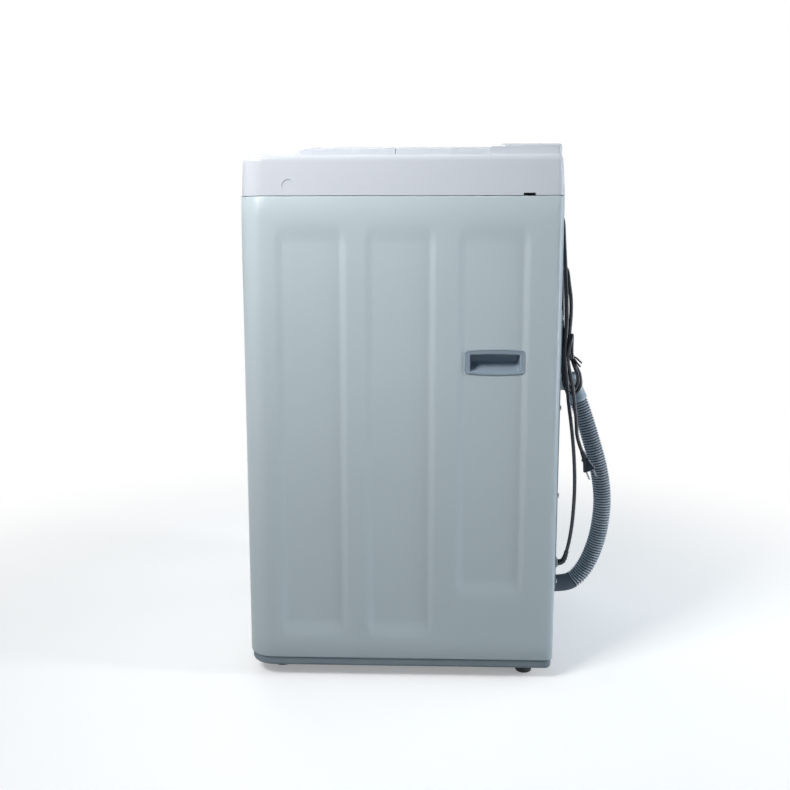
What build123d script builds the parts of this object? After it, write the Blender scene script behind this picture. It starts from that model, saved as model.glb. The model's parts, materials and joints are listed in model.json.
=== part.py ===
"""Top load washing machine: a wrap-around sheet steel cabinet on a moulded base, a moulded
top cover with a bi-fold lid, and a tub hung on four sprung rods with its belt drive below.

Millimetres. +Z is up, the front faces -Y, and the origin is on the floor under the centre."""

from math import atan2, degrees, pi, radians, sqrt, tan
import os

from build123d import *

os.makedirs("parts", exist_ok=True)

# ------------------------------------------------------------------ clearances and walls
touch_gap = 0.1          # between two fixed pieces that seat on each other
loose_gap = 0.5          # round a fixed piece that drops into a hole
run_gap = 0.05           # radial, a shaft in its bearing
slide_gap = 0.4          # each side of a piece that slides
through = 2.0            # how far a cutting tool runs past a face

sheet = 1.0              # cabinet steel
cover_wall = 2.5         # wall of the moulded covers and the lid

# ------------------------------------------------------------------ cabinet
cabinet_width = 525.0
cabinet_depth = 520.0
cabinet_height = 770.0
front_corner_r = 45.0
rear_corner_r = 14.0
rear_flange = 8.0        # flat strip behind each rear corner
return_flange = 16.0     # folded in along the top and bottom edges

emboss_depth = 3.0
emboss_slope = 9.0
emboss_corner = 16.0
emboss_top_gap = 40.0    # from the cabinet's top edge down to each panel
front_emboss = (60.0, 167.0)       # from and to, behind the front face
middle_emboss = (-51.0, 59.0)      # from and to, about the centre
rear_emboss = (52.0, 162.0)        # from and to, ahead of the rear face
long_emboss_bottom = 33.0          # above the cabinet's bottom edge
short_emboss_bottom = 106.0

# ------------------------------------------------------------------ base and feet
foot_height = 20.0
base_skirt = 16.5
base_inset = 3.0
base_edge_r = 6.0
base_rail = 40.0         # width of the base's frame
base_corner = 62.0       # size of its solid corners
drain_rail = 28.0        # width of the rail that the drain stands on
rear_foot_r = 14.0
rear_foot_side = 42.0    # foot centre in from the cabinet's side
rear_foot_back = 46.0
front_foot_r = 19.0
front_foot_side = 64.0
front_foot_front = 52.0
foot_pad = 9.0
foot_stud_r = 5.0
foot_stud = 34.0
foot_nut_r = 9.0
foot_nut = 5.0

# ------------------------------------------------------------------ top cover, lid, console
cover_height = 65.0
cover_edge_r = 12.0
opening_side = 77.5      # loading opening's edge in from the cabinet's side
opening_front_in = 115.0 # and in from the front face
opening_rear_in = 121.0
opening_r = 100.0
skirt_drop = 58.0        # the opening's skirt hangs this far below the cover's top
notch_width = 19.0
notch_height = 4.0
notch_back = 56.5        # notch centre ahead of the rear face
dimple_r = 10.0
dimple_depth = 1.2
dimple_front = 83.0
dimple_up = 16.0

lid_side = 30.0          # lid's edge in from the cabinet's side
lid_thickness = 12.5
lid_gap = 0.5            # lid above the cover
lid_front_in = 92.0      # lid's front edge behind the front face
lid_ramp = 24.0
lid_ramp_drop = 8.0
lid_edge_r = 4.0
rear_panel_length = 159.0          # fold line to hinge axis
fold_gap = 0.8
knuckle_r = 4.0
fold_pin_r = 2.0
knuckle_length = 40.0
knuckle_pitch = 84.0     # one pair of knuckles to the next
knuckle_pairs = 4
hinge_rear_in = 109.0    # hinge axis ahead of the rear face
hinge_pin_r = 3.0
hinge_pin = 18.0
ear = 7.0
ear_gap = 0.7

console_length = 97.0
console_rear_gap = 4.0   # ahead of the cover's rear face
console_height = 17.5
console_r = 8.0

scoop_half = 52.0        # finger scoop under the lid's front edge
scoop_ahead = 15.0       # reach of the scoop ahead of the lid's front edge
scoop_behind = 17.0
scoop_depth = 9.0

# ------------------------------------------------------------------ controls
fascia_side = 54.5       # overlay's end in from the cabinet's side
fascia_front_in = 14.0
fascia_length = 59.0
fascia_thick = 1.2
fascia_r = 10.0
button_proud = 1.0
button_travel = 1.2
button_flange = 1.5
button_stem = 8.0
round_button_r = 12.0
option_button = (28.0, 12.0)
option_first_x = -160.0
option_pitch = 42.0
option_count = 2
start_x = 108.0
power_x = 166.0
board_short = 26.0       # board shorter than the overlay by this much
board_narrow = 13.0
board_thick = 6.0
board_post_r = 3.0
switch_gap = 0.3         # left under a pressed button

# ------------------------------------------------------------------ dispenser and inlet
drawer_half = 55.0
drawer_z = (-46.0, -16.0)          # below the cover's top
drawer_length = 88.0
drawer_wall = 2.0
drawer_face = 3.0
inlet_side = 112.5       # thread axis in from the cabinet's side
inlet_drop = 30.0        # thread axis below the cover's top
inlet_thread_r = 13.2    # outside radius of a three-quarter inch parallel thread
inlet_neck = 2.0         # plain neck between the niche's floor and the thread
inlet_neck_r = 12.2
inlet_thread = 13.0
inlet_bore_r = 9.0
niche_r = 24.0
niche_depth = 14.0
sensor_side = 112.5      # sensor's centre in from the cabinet's side
sensor_rear_in = 30.0
sensor_r = 18.0

# ------------------------------------------------------------------ side grips
grip_width = 99.0
grip_height = 43.0
grip_bow = 2.5           # rise of the bowed top and bottom edges
grip_z = 507.0           # centre, above the cabinet's bottom edge
grip_rear_in = 106.5     # centre ahead of the rear face
grip_rim = 1.8
mouth_width = 80.0
mouth_height = 29.0
grip_deep = 27.0
grip_wall = 2.0
finger_rise = 8.0        # the hollow's reach up behind the top lip

# ------------------------------------------------------------------ back
rear_cover_side = 16.5   # access cover's edge in from the cabinet's side
rear_cover_z = (118.0, 590.0)      # above the cabinet's bottom edge
rear_cover_proud = 4.5
rear_cover_slope = 2.5
access_inset = 34.0
screw_r = 4.2
screw_head = 1.5
screw_shank_r = 2.0
screw_inset = 13.0
screw_count = 4

# ------------------------------------------------------------------ tub and suspension
tub_r = 220.0
tub_wall = 2.5
tub_floor_z = 235.0
tub_floor = 3.0
tub_top_z = 765.0
tub_ring_reach = 48.0    # the ring's lip inside the tub's wall
tub_ring_height = 25.0
rod_side = 57.5          # rod centre in from the cabinet's side
rod_front = 60.0
rod_r = 4.5
rod_bottom_z = 262.0
lug_z = 330.0
lug_thick = 12.0
lug_width = 44.0
bracket_drop = 34.0      # bracket below the cabinet's top edge
bracket_thick = 3.0
bracket_reach = 22.0     # inboard of the rod
seat_r = 11.0
sleeve_r = 19.0
sleeve_wall = 2.5
sleeve_length = 74.0
rod_foot = 5.0
spring_wire_r = 1.6
spring_turns = 6

# ------------------------------------------------------------------ basket and pulsator
basket_gap = 20.0        # basket's wall inside the tub's
basket_wall = 1.0
basket_base_z = 250.0
basket_base = 12.0
basket_top_z = 728.0
balance_reach = 37.0     # the ring's bore inside the basket's wall
balance_height = 42.0
pulsator_clear = 35.0    # the disc's edge inside the basket's wall
pulsator_gap = 6.0
pulsator_rim = 8.0
pulsator_dome = 26.0
vane_count = 4
vane_height = 24.0
vane_thick = 16.0
filter_size = (18.0, 74.0, 190.0)  # into the basket, across, tall
filter_z = 420.0

# ------------------------------------------------------------------ drive
spin_shaft_r = 12.5
pulsator_shaft_r = 8.0
input_shaft_r = 7.0
clutch_r = 55.0
clutch_neck_r = 28.0
clutch_z = 150.0
plate_z = 222.0
plate_thick = 3.0
plate_size = (330.0, 210.0)
plate_x = -45.0
tub_boss_r = 12.0
pulley_r = 70.0
motor_pulley_r = 26.0
pulley_z = 92.0
pulley_width = 16.0
pulley_rim = 6.0         # depth of the belt groove
belt_thick = 7.0
belt_width = 9.0
belt_gap = 0.3
motor_x = -160.0
motor_r = 58.0
motor_length = 78.0
motor_gap = 6.0          # pulley to motor
capacitor_r = 20.0
capacitor_length = 72.0

# ------------------------------------------------------------------ drain
drain_x = 150.0
drain_z = 133.0
valve_r = 24.0
valve_length = 56.0
plunger_r = 15.0
plunger_length = 22.0
plunger_rod_r = 2.5
plunger_travel = 12.0
actuator_size = (44.0, 46.0, 40.0)
actuator_gap = 20.0
hose_r = 15.5
hose_collar_r = 18.5
hose_foot = 8.0          # where the hose leaves its collar, behind the rear face
cuff_r = 16.5
cuff_length = 46.0
holder_wall = 3.0
holder_height = 16.0
internal_hose_r = 13.0

# ------------------------------------------------------------------ power cord
cord_r = 3.1
cord_in = 14.0           # cord's outlet in from the access cover's edge
plug_blade = (1.5, 6.3, 17.0)
plug_pitch = 12.7

# ------------------------------------------------------------------ levels worked out from the above
half_w = cabinet_width / 2
half_d = cabinet_depth / 2
base_z = foot_height
cabinet_z = base_z + base_skirt
cabinet_top = cabinet_z + cabinet_height
cover_top = cabinet_top + cover_height
lid_z = cover_top + lid_gap
lid_top = lid_z + lid_thickness
hinge_z = lid_z + lid_thickness / 2
skirt_z = cover_top - skirt_drop
bracket_z = cabinet_top - bracket_drop
rod_x = half_w - rod_side
rod_y = half_d - rod_front
back_y = half_d - sheet - touch_gap          # outer face of the back panel
rear_cover_y = half_d + rear_cover_proud     # outer face of the access cover
emboss_spans = [
    (front_emboss[0] - half_d, front_emboss[1] - half_d),
    middle_emboss,
    (half_d - rear_emboss[1], half_d - rear_emboss[0]),
]
opening_half_x = half_w - opening_side
opening_front = opening_front_in - half_d
opening_rear = half_d - opening_rear_in
lid_half = half_w - lid_side
lid_front = lid_front_in - half_d
hinge_y = half_d - hinge_rear_in
fold_y = hinge_y - rear_panel_length
scoop_front = lid_front - scoop_ahead
scoop_rear = lid_front + scoop_behind
fascia_half = half_w - fascia_side
fascia_front = fascia_front_in - half_d
fascia_rear = fascia_front + fascia_length
fascia_y = (fascia_front + fascia_rear) / 2
board_size = (2 * fascia_half - board_short, fascia_length - board_narrow, board_thick)
inlet_x = inlet_side - half_w
sensor_x = half_w - sensor_side
sensor_y = half_d - sensor_rear_in
grip_y = half_d - grip_rear_in
rear_cover_half = half_w - rear_cover_side
cord_x = rear_cover_half - cord_in
tub_ring_r = tub_r - tub_ring_reach
basket_r = tub_r - basket_gap
balance_inner_r = basket_r - balance_reach
pulsator_r = basket_r - pulsator_clear
console_half = lid_half + ear_gap + ear
console_top = cover_top + console_height
console_back = half_d - console_rear_gap
hose_start = half_d + hose_foot
console_front = console_back - console_length


# ------------------------------------------------------------------ helpers
def save(name, *solids):
    """Write one node, made of one solid or of several separate ones."""
    shape = solids[0] if len(solids) == 1 else Compound(children=list(solids))
    export_step(shape, f"parts/{name}.step")


def box(x0, x1, y0, y1, z0, z1):
    """A block given by its two corners."""
    return Pos((x0 + x1) / 2, (y0 + y1) / 2, (z0 + z1) / 2) * Box(abs(x1 - x0), abs(y1 - y0), abs(z1 - z0))


def post(x, y, z0, z1, radius):
    """An upright cylinder."""
    return Pos(x, y, (z0 + z1) / 2) * Cylinder(radius, z1 - z0)


def bar_x(x0, x1, y, z, radius):
    """A cylinder along X."""
    return Pos((x0 + x1) / 2, y, z) * Rot(0, 90, 0) * Cylinder(radius, abs(x1 - x0))


def bar_y(y0, y1, x, z, radius):
    """A cylinder along Y."""
    return Pos(x, (y0 + y1) / 2, z) * Rot(90, 0, 0) * Cylinder(radius, y1 - y0)


def tube(x, y, z0, z1, outer, inner):
    """An upright ring."""
    return post(x, y, z0, z1, outer) - post(x, y, z0 - through, z1 + through, inner)


def rounded_plan(half_x, y0, y1, front_r, rear_r):
    """A plan outline with its own corner radius at the front and at the rear."""
    sketch = Pos(0, (y0 + y1) / 2) * Rectangle(2 * half_x, y1 - y0)
    sketch = fillet(sketch.vertices().group_by(Axis.Y)[0], front_r)
    return fillet(sketch.vertices().group_by(Axis.Y)[-1], rear_r)


def cabinet_plan(inset):
    """The cabinet's plan outline, moved inward."""
    return rounded_plan(half_w - inset, -half_d + inset, half_d - inset,
                        front_corner_r - inset, max(rear_corner_r - inset, 0.5))


def raise_plan(sketch, z0, z1):
    """A plan outline made into a block from z0 to z1."""
    return Pos(0, 0, z0) * extrude(sketch, z1 - z0)


def top_edges(shape):
    """The edges round the topmost face."""
    return shape.faces().sort_by(Axis.Z)[-1].edges()


def corners():
    """The four corner signs, front left first."""
    return [(-1, -1), (1, -1), (-1, 1), (1, 1)]


def upright(profile, half_x):
    """A profile drawn as (y, z) points, carried from -half_x to half_x."""
    face = make_face(Polyline(*[(0, y, z) for y, z in profile], close=True))
    return extrude(face, half_x, dir=(1, 0, 0)) + extrude(face, half_x, dir=(-1, 0, 0))


# ================================================================== cabinet
def emboss(span, bottom, grow):
    """One panel pressed into the +X side, as the block it takes out, grown on every side."""
    low, high = cabinet_z + bottom, cabinet_top - emboss_top_gap
    wide, tall = span[1] - span[0] + 2 * grow, high - low + 2 * grow
    centre_y, centre_z = sum(span) / 2, (low + high) / 2
    flat = emboss_corner + grow - emboss_slope
    outer = side_plane(half_w, centre_y, centre_z) * RectangleRounded(wide, tall, emboss_corner + grow)
    inner = side_plane(half_w - emboss_depth - grow, centre_y, centre_z) * RectangleRounded(
        wide - 2 * emboss_slope, tall - 2 * emboss_slope, flat)
    return loft([outer, inner], ruled=True)


def side_plane(x, y, z):
    """A sketch plane facing +X, with its first axis along Y and its second up."""
    return Plane(origin=(x, y, z), x_dir=(0, 1, 0), z_dir=(1, 0, 0))


def bowed(width, height, x, rise=0.0):
    """A grip outline at x: a rounded rectangle with its top and bottom edges bowed outward."""
    side, mid, corner = width / 2, height / 2, height * 0.3
    edges = [ThreePointArc((-side, mid), (0, mid + grip_bow), (side, mid)),
             Line((side, mid), (side, -mid)),
             ThreePointArc((side, -mid), (0, -mid - grip_bow / 2), (-side, -mid)),
             Line((-side, -mid), (-side, mid))]
    face = make_face(edges)
    face = fillet(face.vertices(), corner)
    return side_plane(x, grip_y, grip_z + cabinet_z + rise) * face


embosses = [(emboss_spans[0], long_emboss_bottom), (emboss_spans[1], long_emboss_bottom),
            (emboss_spans[2], short_emboss_bottom)]
emboss_floor_x = half_w - emboss_depth
grip_drop = 3.0          # mouth centre below the rim's centre
grip_slack = 1.5         # hole in the sheet round the grip's pocket


def cabinet_shell():
    """One sheet wrapped round the front and both sides, with a flange behind each rear corner."""
    shell = raise_plan(cabinet_plan(0) - cabinet_plan(sheet), cabinet_z, cabinet_top)
    for z in (cabinet_z, cabinet_top - sheet):
        shell += raise_plan(cabinet_plan(0) - cabinet_plan(return_flange), z, z + sheet)
    gap_x = half_w - rear_corner_r - rear_flange
    shell -= box(-gap_x, gap_x, half_d - return_flange - through, half_d + through,
                 cabinet_z - through, cabinet_top + through)
    pressed = [emboss(span, bottom, sheet) for span, bottom in embosses]
    taken = [emboss(span, bottom, 0) for span, bottom in embosses]
    hole = extrude(bowed(mouth_width + 2 * (grip_wall + grip_slack),
                         mouth_height + 2 * (grip_wall + grip_slack),
                         half_w + through, -grip_drop), -emboss_depth - sheet - 2 * through)
    for block in pressed:
        shell += block
        shell += mirror(block, about=Plane.YZ)
    for block in taken + [hole]:
        shell -= block
        shell -= mirror(block, about=Plane.YZ)
    return shell


def screw_places():
    """Centres (x, z) of the access cover's screws."""
    low = cabinet_z + rear_cover_z[0] + screw_inset
    high = cabinet_z + rear_cover_z[1] - screw_inset
    pitch = (high - low) / (screw_count - 1)
    x = rear_cover_half - screw_inset
    return [(side * x, low + i * pitch) for side in (-1, 1) for i in range(screw_count)]


cord_z = 199.5
grommet_r = 6.0
grommet_lip = 2.5


def back_panel():
    """The sheet that closes the back, seated against the cabinet's rear flanges."""
    x = half_w - rear_corner_r - touch_gap
    panel = box(-x, x, back_y - sheet, back_y, cabinet_z + sheet + touch_gap,
                cabinet_top - sheet - touch_gap)
    window = rear_cover_half - access_inset
    panel -= box(-window, window, back_y - sheet - through, back_y + through,
                 cabinet_z + rear_cover_z[0] + access_inset,
                 cabinet_z + rear_cover_z[1] - access_inset)
    for x, z in screw_places():
        panel -= bar_y(back_y - sheet - through, back_y + through, x, z, screw_shank_r + touch_gap)
    panel -= bar_y(back_y - sheet - through, back_y + through, drain_x, drain_z,
                   internal_hose_r + loose_gap)
    panel -= bar_y(back_y - sheet - through, back_y + through, cord_x, cord_z, grommet_r + touch_gap)
    return panel


def rear_access_cover():
    """A shallow pressed tray over the back panel's window."""
    low, high = cabinet_z + rear_cover_z[0], cabinet_z + rear_cover_z[1]
    centre, tall = (low + high) / 2, high - low
    seat_y = half_d + touch_gap

    def tray(inset, y0, y1):
        wide_face = rear_plane(0, y0, centre) * RectangleRounded(
            2 * (rear_cover_half - inset), tall - 2 * inset, rear_corner_r)
        lean = inset + rear_cover_slope
        narrow_face = rear_plane(0, y1, centre) * RectangleRounded(
            2 * (rear_cover_half - lean), tall - 2 * lean, rear_corner_r)
        return loft([wide_face, narrow_face], ruled=True)

    cover = tray(0, seat_y, rear_cover_y) - tray(sheet, seat_y - sheet, rear_cover_y - sheet)
    for x, z in screw_places():
        cover -= bar_y(seat_y, rear_cover_y + through, x, z, screw_shank_r + touch_gap)
    return cover - bar_y(seat_y, rear_cover_y + through, cord_x, cord_z, grommet_r + touch_gap)


def rear_plane(x, y, z):
    """A sketch plane facing +Y, with its second axis up."""
    return Plane(origin=(x, y, z), x_dir=(-1, 0, 0), z_dir=(0, 1, 0))


def rear_cover_screws():
    """Pan head screws through the access cover into the back panel."""
    screws = []
    for x, z in screw_places():
        head = bar_y(rear_cover_y, rear_cover_y + screw_head, x, z, screw_r)
        screws.append(head + bar_y(back_y - 3 * sheet, rear_cover_y, x, z, screw_shank_r))
    return screws


def base_frame():
    """The moulded base: an open frame with solid corners and a rib that stands inside the cabinet."""
    top = cabinet_z - touch_gap
    body = raise_plan(cabinet_plan(base_inset), base_z, top)
    body = fillet(body.faces().sort_by(Axis.Z)[0].edges(), base_edge_r)
    hollow = box(base_rail - half_w, half_w - base_rail, base_rail - half_d, half_d - base_rail,
                 base_z - through, top + through)
    for sx, sy in corners():
        x, y = sx * (half_w - base_corner / 2), sy * (half_d - base_corner / 2)
        hollow -= Pos(x, y, (base_z + top) / 2) * Box(base_corner, base_corner, top - base_z + 3 * through)
    body -= hollow
    body += box(drain_x - drain_rail / 2, drain_x + drain_rail / 2, base_rail - half_d, half_d - base_rail,
                base_z, top)
    rib_in = return_flange + loose_gap
    body += raise_plan(cabinet_plan(rib_in) - cabinet_plan(rib_in + cover_wall), base_z + base_edge_r,
                       top + base_skirt)
    for side in (-1, 1):
        body -= post(side * (half_w - front_foot_side), front_foot_front - half_d, base_z - through,
                     top + base_skirt + through, foot_stud_r + run_gap)
    return body


def rear_feet():
    """Two fixed feet under the rear corners."""
    y = half_d - rear_foot_back
    feet = []
    for side in (-1, 1):
        foot = post(side * (half_w - rear_foot_side), y, 0, base_z, rear_foot_r)
        feet.append(fillet(foot.faces().sort_by(Axis.Z)[0].edges(), rear_foot_r * 0.25))
    return feet


def levelling_foot(side):
    """A screw foot: a pad on the floor and its stud up through the base, with a lock nut."""
    x, y = side * (half_w - front_foot_side), front_foot_front - half_d
    pad = post(x, y, 0, foot_pad, front_foot_r)
    pad = fillet(pad.faces().sort_by(Axis.Z)[0].edges(), foot_pad * 0.3)
    nut = Pos(x, y, foot_pad) * extrude(RegularPolygon(foot_nut_r, 6), foot_nut)
    return pad + nut + post(x, y, foot_pad, foot_pad + foot_stud, foot_stud_r)


def corner_brackets():
    """Four pressed seats in the cabinet's upper corners that the tub's rods hang from."""
    brackets = []
    for sx, sy in corners():
        x0, y0 = rod_x - bracket_reach, rod_y - bracket_reach
        reach_y = half_d if sy < 0 else back_y - sheet - touch_gap
        corner = Pos(sx * (x0 + half_w) / 2, sy * (y0 + reach_y) / 2) * Rectangle(
            half_w - x0, reach_y - y0)
        plan = corner & cabinet_plan(sheet + touch_gap)
        plate = raise_plan(plan, bracket_z, bracket_z + bracket_thick)
        rim = plan - cabinet_plan(sheet + touch_gap + bracket_thick)
        plate += raise_plan(rim, bracket_z, bracket_z + bracket_drop - 4 * sheet)
        brackets.append(plate - post(sx * rod_x, sy * rod_y, bracket_z - through,
                                     bracket_z + bracket_thick + through, rod_r + loose_gap))
    return brackets


save("cabinet_shell", cabinet_shell())
save("back_panel", back_panel())
save("rear_access_cover", rear_access_cover())
save("rear_cover_screws", *rear_cover_screws())
save("base_frame", base_frame())
save("rear_feet", *rear_feet())
save("front_left_foot", levelling_foot(-1))
save("front_right_foot", levelling_foot(1))
save("corner_brackets", *corner_brackets())


# ================================================================== side grips
def grip(side):
    """A moulded finger pocket: its rim lies in the pressed panel, its hollow rises inward."""
    rim_x = emboss_floor_x + touch_gap
    deep_x = half_w - grip_deep
    rim = extrude(bowed(grip_width, grip_height, rim_x), grip_rim)
    rim &= emboss(emboss_spans[2], short_emboss_bottom, -touch_gap)

    def pocket(grow, x0, x1):
        return loft([bowed(mouth_width + 2 * grow, mouth_height + 2 * grow, x0, -grip_drop),
                     bowed(mouth_width + 2 * grow, mouth_height + 2 * grow, x1,
                           -grip_drop + finger_rise)], ruled=True)

    body = rim + pocket(grip_wall, rim_x + grip_rim / 2, deep_x - grip_wall)
    body -= pocket(0, half_w + touch_gap, deep_x)
    return body if side > 0 else mirror(body, about=Plane.YZ)


save("side_grips", grip(-1), grip(1))


# ================================================================== top cover
seam = 0.6               # shadow gap between the cabinet and the top cover
seam_chamfer = 0.8
pad_z = cover_top - fascia_thick - cover_wall      # underside of the cover below the fascia
flange_top = pad_z - touch_gap
board_top = flange_top - button_flange - button_stem - button_travel - switch_gap


def well(grow):
    """The loading opening's plan outline."""
    return rounded_plan(opening_half_x + grow, opening_front - grow, opening_rear + grow,
                        opening_r + grow, opening_r + grow)


def button_places():
    """Name and centre x of every button."""
    options = [(f"option_button_{i + 1}", option_first_x + i * option_pitch) for i in range(option_count)]
    return options + [("start_button", start_x), ("power_button", power_x)]


def button_outline(name, grow=0.0):
    """A button's plan outline about its own centre."""
    if name.startswith("option"):
        wide, deep = option_button
        return RectangleRounded(wide + 2 * grow, deep + 2 * grow, deep / 3 + grow)
    return Circle(round_button_r + grow)


def fascia_plan(grow):
    """The control fascia's plan outline."""
    return Pos(0, fascia_y) * RectangleRounded(
        2 * (fascia_half + grow), fascia_rear - fascia_front + 2 * grow, fascia_r + grow)


def board_posts():
    """Centres of the posts that carry the control board."""
    x, y = board_size[0] / 2 - 2 * board_post_r, board_size[1] / 2 - 2 * board_post_r
    return [(sx * x, fascia_y + sy * y) for sx, sy in corners()]


def drawer_tunnel(grow):
    """The block that the dispenser drawer fills, grown on the sides, top and bottom."""
    return box(-drawer_half - grow, drawer_half + grow, opening_rear - 2 * cover_wall,
               opening_rear + drawer_length, cover_top + drawer_z[0] - grow, cover_top + drawer_z[1] + grow)


def top_cover():
    """The moulded top: a shallow box open below, with the loading opening and its skirt."""
    cover = raise_plan(cabinet_plan(0), cabinet_top + seam, cover_top)
    cover = chamfer(cover.faces().sort_by(Axis.Z)[0].edges(), seam_chamfer)
    cover = fillet(top_edges(cover), cover_edge_r)
    hollow = raise_plan(cabinet_plan(cover_wall), cabinet_top - through, cover_top - cover_wall)
    cover -= fillet(top_edges(hollow), cover_edge_r - cover_wall)
    cover += raise_plan(well(cover_wall), skirt_z, cover_top - cover_wall)
    cover += raise_plan(fascia_plan(cover_wall), pad_z, cover_top - cover_wall)
    cover += box(-scoop_half - cover_wall, scoop_half + cover_wall, scoop_front - cover_wall,
                 opening_front, cover_top - scoop_depth - cover_wall, cover_top - cover_wall)
    cover -= raise_plan(well(0), skirt_z - through, cover_top + through)
    cover -= raise_plan(fascia_plan(0), cover_top - fascia_thick, cover_top + through)
    scoop = box(-scoop_half, scoop_half, scoop_front, scoop_rear, cover_top - scoop_depth,
                cover_top + scoop_depth)
    cover -= fillet(scoop.faces().sort_by(Axis.Z)[0].edges(), scoop_depth * 0.6)
    for name, x in button_places():
        outline = Pos(x, fascia_y) * button_outline(name, slide_gap)
        cover -= raise_plan(outline, pad_z - through, cover_top)
    for x, y in board_posts():
        cover += post(x, y, board_top, pad_z, board_post_r)
    cover -= drawer_tunnel(slide_gap)
    return inlet_niche(side_marks(cover))


def side_marks(cover):
    """The notch in each side's lower edge and the shallow round dimple near the front."""
    notch_y = half_d - notch_back
    for side in (-1, 1):
        cover -= box(side * (half_w - 2 * cover_wall), side * (half_w + through), notch_y - notch_width / 2,
                     notch_y + notch_width / 2, cabinet_top, cabinet_top + seam + notch_height)
        cover -= bar_x(side * (half_w - dimple_depth), side * (half_w + through),
                       dimple_front - half_d, cabinet_top + dimple_up, dimple_r)
    return cover


def inlet_niche(cover):
    """The round niche in the rear wall that the water inlet stands in."""
    z = cover_top - inlet_drop
    cover += bar_y(half_d - niche_depth - cover_wall, half_d - cover_wall, inlet_x, z, niche_r + cover_wall)
    cover -= bar_y(half_d - niche_depth, half_d + through, inlet_x, z, niche_r)
    return cover - bar_y(half_d - niche_depth - 2 * cover_wall, half_d, inlet_x, z,
                         inlet_thread_r + touch_gap)


ear_front = 8.0          # the console's ears reach this far ahead of the hinge axis
console_edge_r = 5.0
ear_edge_r = 3.0


def rear_console():
    """The raised rear deck, with an ear at each end that carries the lid's hinge pin."""
    seat = cover_top + touch_gap
    console = raise_plan(rounded_plan(console_half, console_front, console_back, console_r, console_r),
                         seat, console_top)
    console = fillet(top_edges(console), console_edge_r)
    inside = rounded_plan(console_half - cover_wall, console_front + cover_wall,
                          console_back - cover_wall, console_r - cover_wall, console_r - cover_wall)
    console -= raise_plan(inside, seat - through, console_top - cover_wall)
    for side in (-1, 1):
        arm = box(side * (lid_half + ear_gap), side * console_half, hinge_y - ear_front,
                  console_front + console_r, seat, lid_top)
        arm = fillet(arm.faces().sort_by(Axis.Y)[0].edges().sort_by(Axis.Z)[-1], ear_edge_r)
        console += arm
    pin = console_half - ear_edge_r
    return console - bar_x(-pin, pin, hinge_y, hinge_z, hinge_pin_r + run_gap)


def control_fascia():
    """The overlay let into the cover's front, with a hole round every button."""
    fascia = raise_plan(fascia_plan(-touch_gap), cover_top - fascia_thick + touch_gap, cover_top)
    for name, x in button_places():
        outline = Pos(x, fascia_y) * button_outline(name, slide_gap)
        fascia -= raise_plan(outline, cover_top - fascia_thick - through, cover_top + through)
    return fascia


def push_button(name, x):
    """A cap proud of the fascia, a flange that holds it in and a stem down to its switch."""
    place = Pos(x, fascia_y)
    cap = raise_plan(place * button_outline(name), flange_top, cover_top + button_proud)
    cap = chamfer(top_edges(cap), button_proud * 0.5)
    flange = raise_plan(place * button_outline(name, button_flange), flange_top - button_flange, flange_top)
    stem = post(x, fascia_y, flange_top - button_flange - button_stem,
                flange_top - button_flange, option_button[1] / 4)
    return cap + flange + stem


def control_board():
    """The potted control board, hung from its posts under the fascia."""
    return Pos(0, fascia_y, board_top - touch_gap - board_size[2] / 2) * Box(*board_size)


save("top_cover", top_cover())
save("rear_console", rear_console())
save("control_fascia", control_fascia())
save("control_board", control_board())
for name, x in button_places():
    save(name, push_button(name, x))


# ================================================================== dispenser, inlet and level sensor
housing_wall = 2.0
housing_rear = opening_rear + drawer_length + housing_wall


def dispenser_housing():
    """The box behind the skirt that the drawer slides in and the inlet fills, with a chute below."""
    gap = slide_gap + housing_wall
    front = opening_rear + cover_wall + touch_gap
    z0, z1 = cover_top + drawer_z[0] - gap, cover_top + drawer_z[1] + gap
    housing = box(-drawer_half - gap, drawer_half + gap, front, housing_rear, z0, z1)
    housing -= box(-drawer_half - slide_gap, drawer_half + slide_gap, front - through,
                   housing_rear - housing_wall, z0 + housing_wall, z1 - housing_wall)
    z = cover_top - inlet_drop
    housing -= bar_x(-drawer_half - gap - through, -drawer_half, inlet_pipe_y, z,
                     inlet_bore_r / 2 + touch_gap)
    hanger = box(-drawer_half, drawer_half, housing_rear - 2 * housing_wall, housing_rear,
                 z1, cover_top - cover_wall - touch_gap)
    return housing + hanger


def dispenser_drawer():
    """An open tray with a pull face that closes flush in the loading opening."""
    z0, z1 = cover_top + drawer_z[0], cover_top + drawer_z[1]
    front = opening_rear + touch_gap
    tray = box(-drawer_half, drawer_half, front, opening_rear + drawer_length - slide_gap, z0, z1)
    tray -= box(-drawer_half + drawer_wall, drawer_half - drawer_wall, front + drawer_face,
                opening_rear + drawer_length - slide_gap - drawer_wall, z0 + drawer_wall, z1 + through)
    lip = drawer_face * 0.9
    face = box(-drawer_half, drawer_half, front - lip, front + lip, z0, z1)
    return tray + chamfer(face.faces().sort_by(Axis.Y)[0].edges(), lip * 0.3)


inlet_pipe_y = half_d - 38.0
valve_body = (36.0, 34.0, 34.0)


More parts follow.
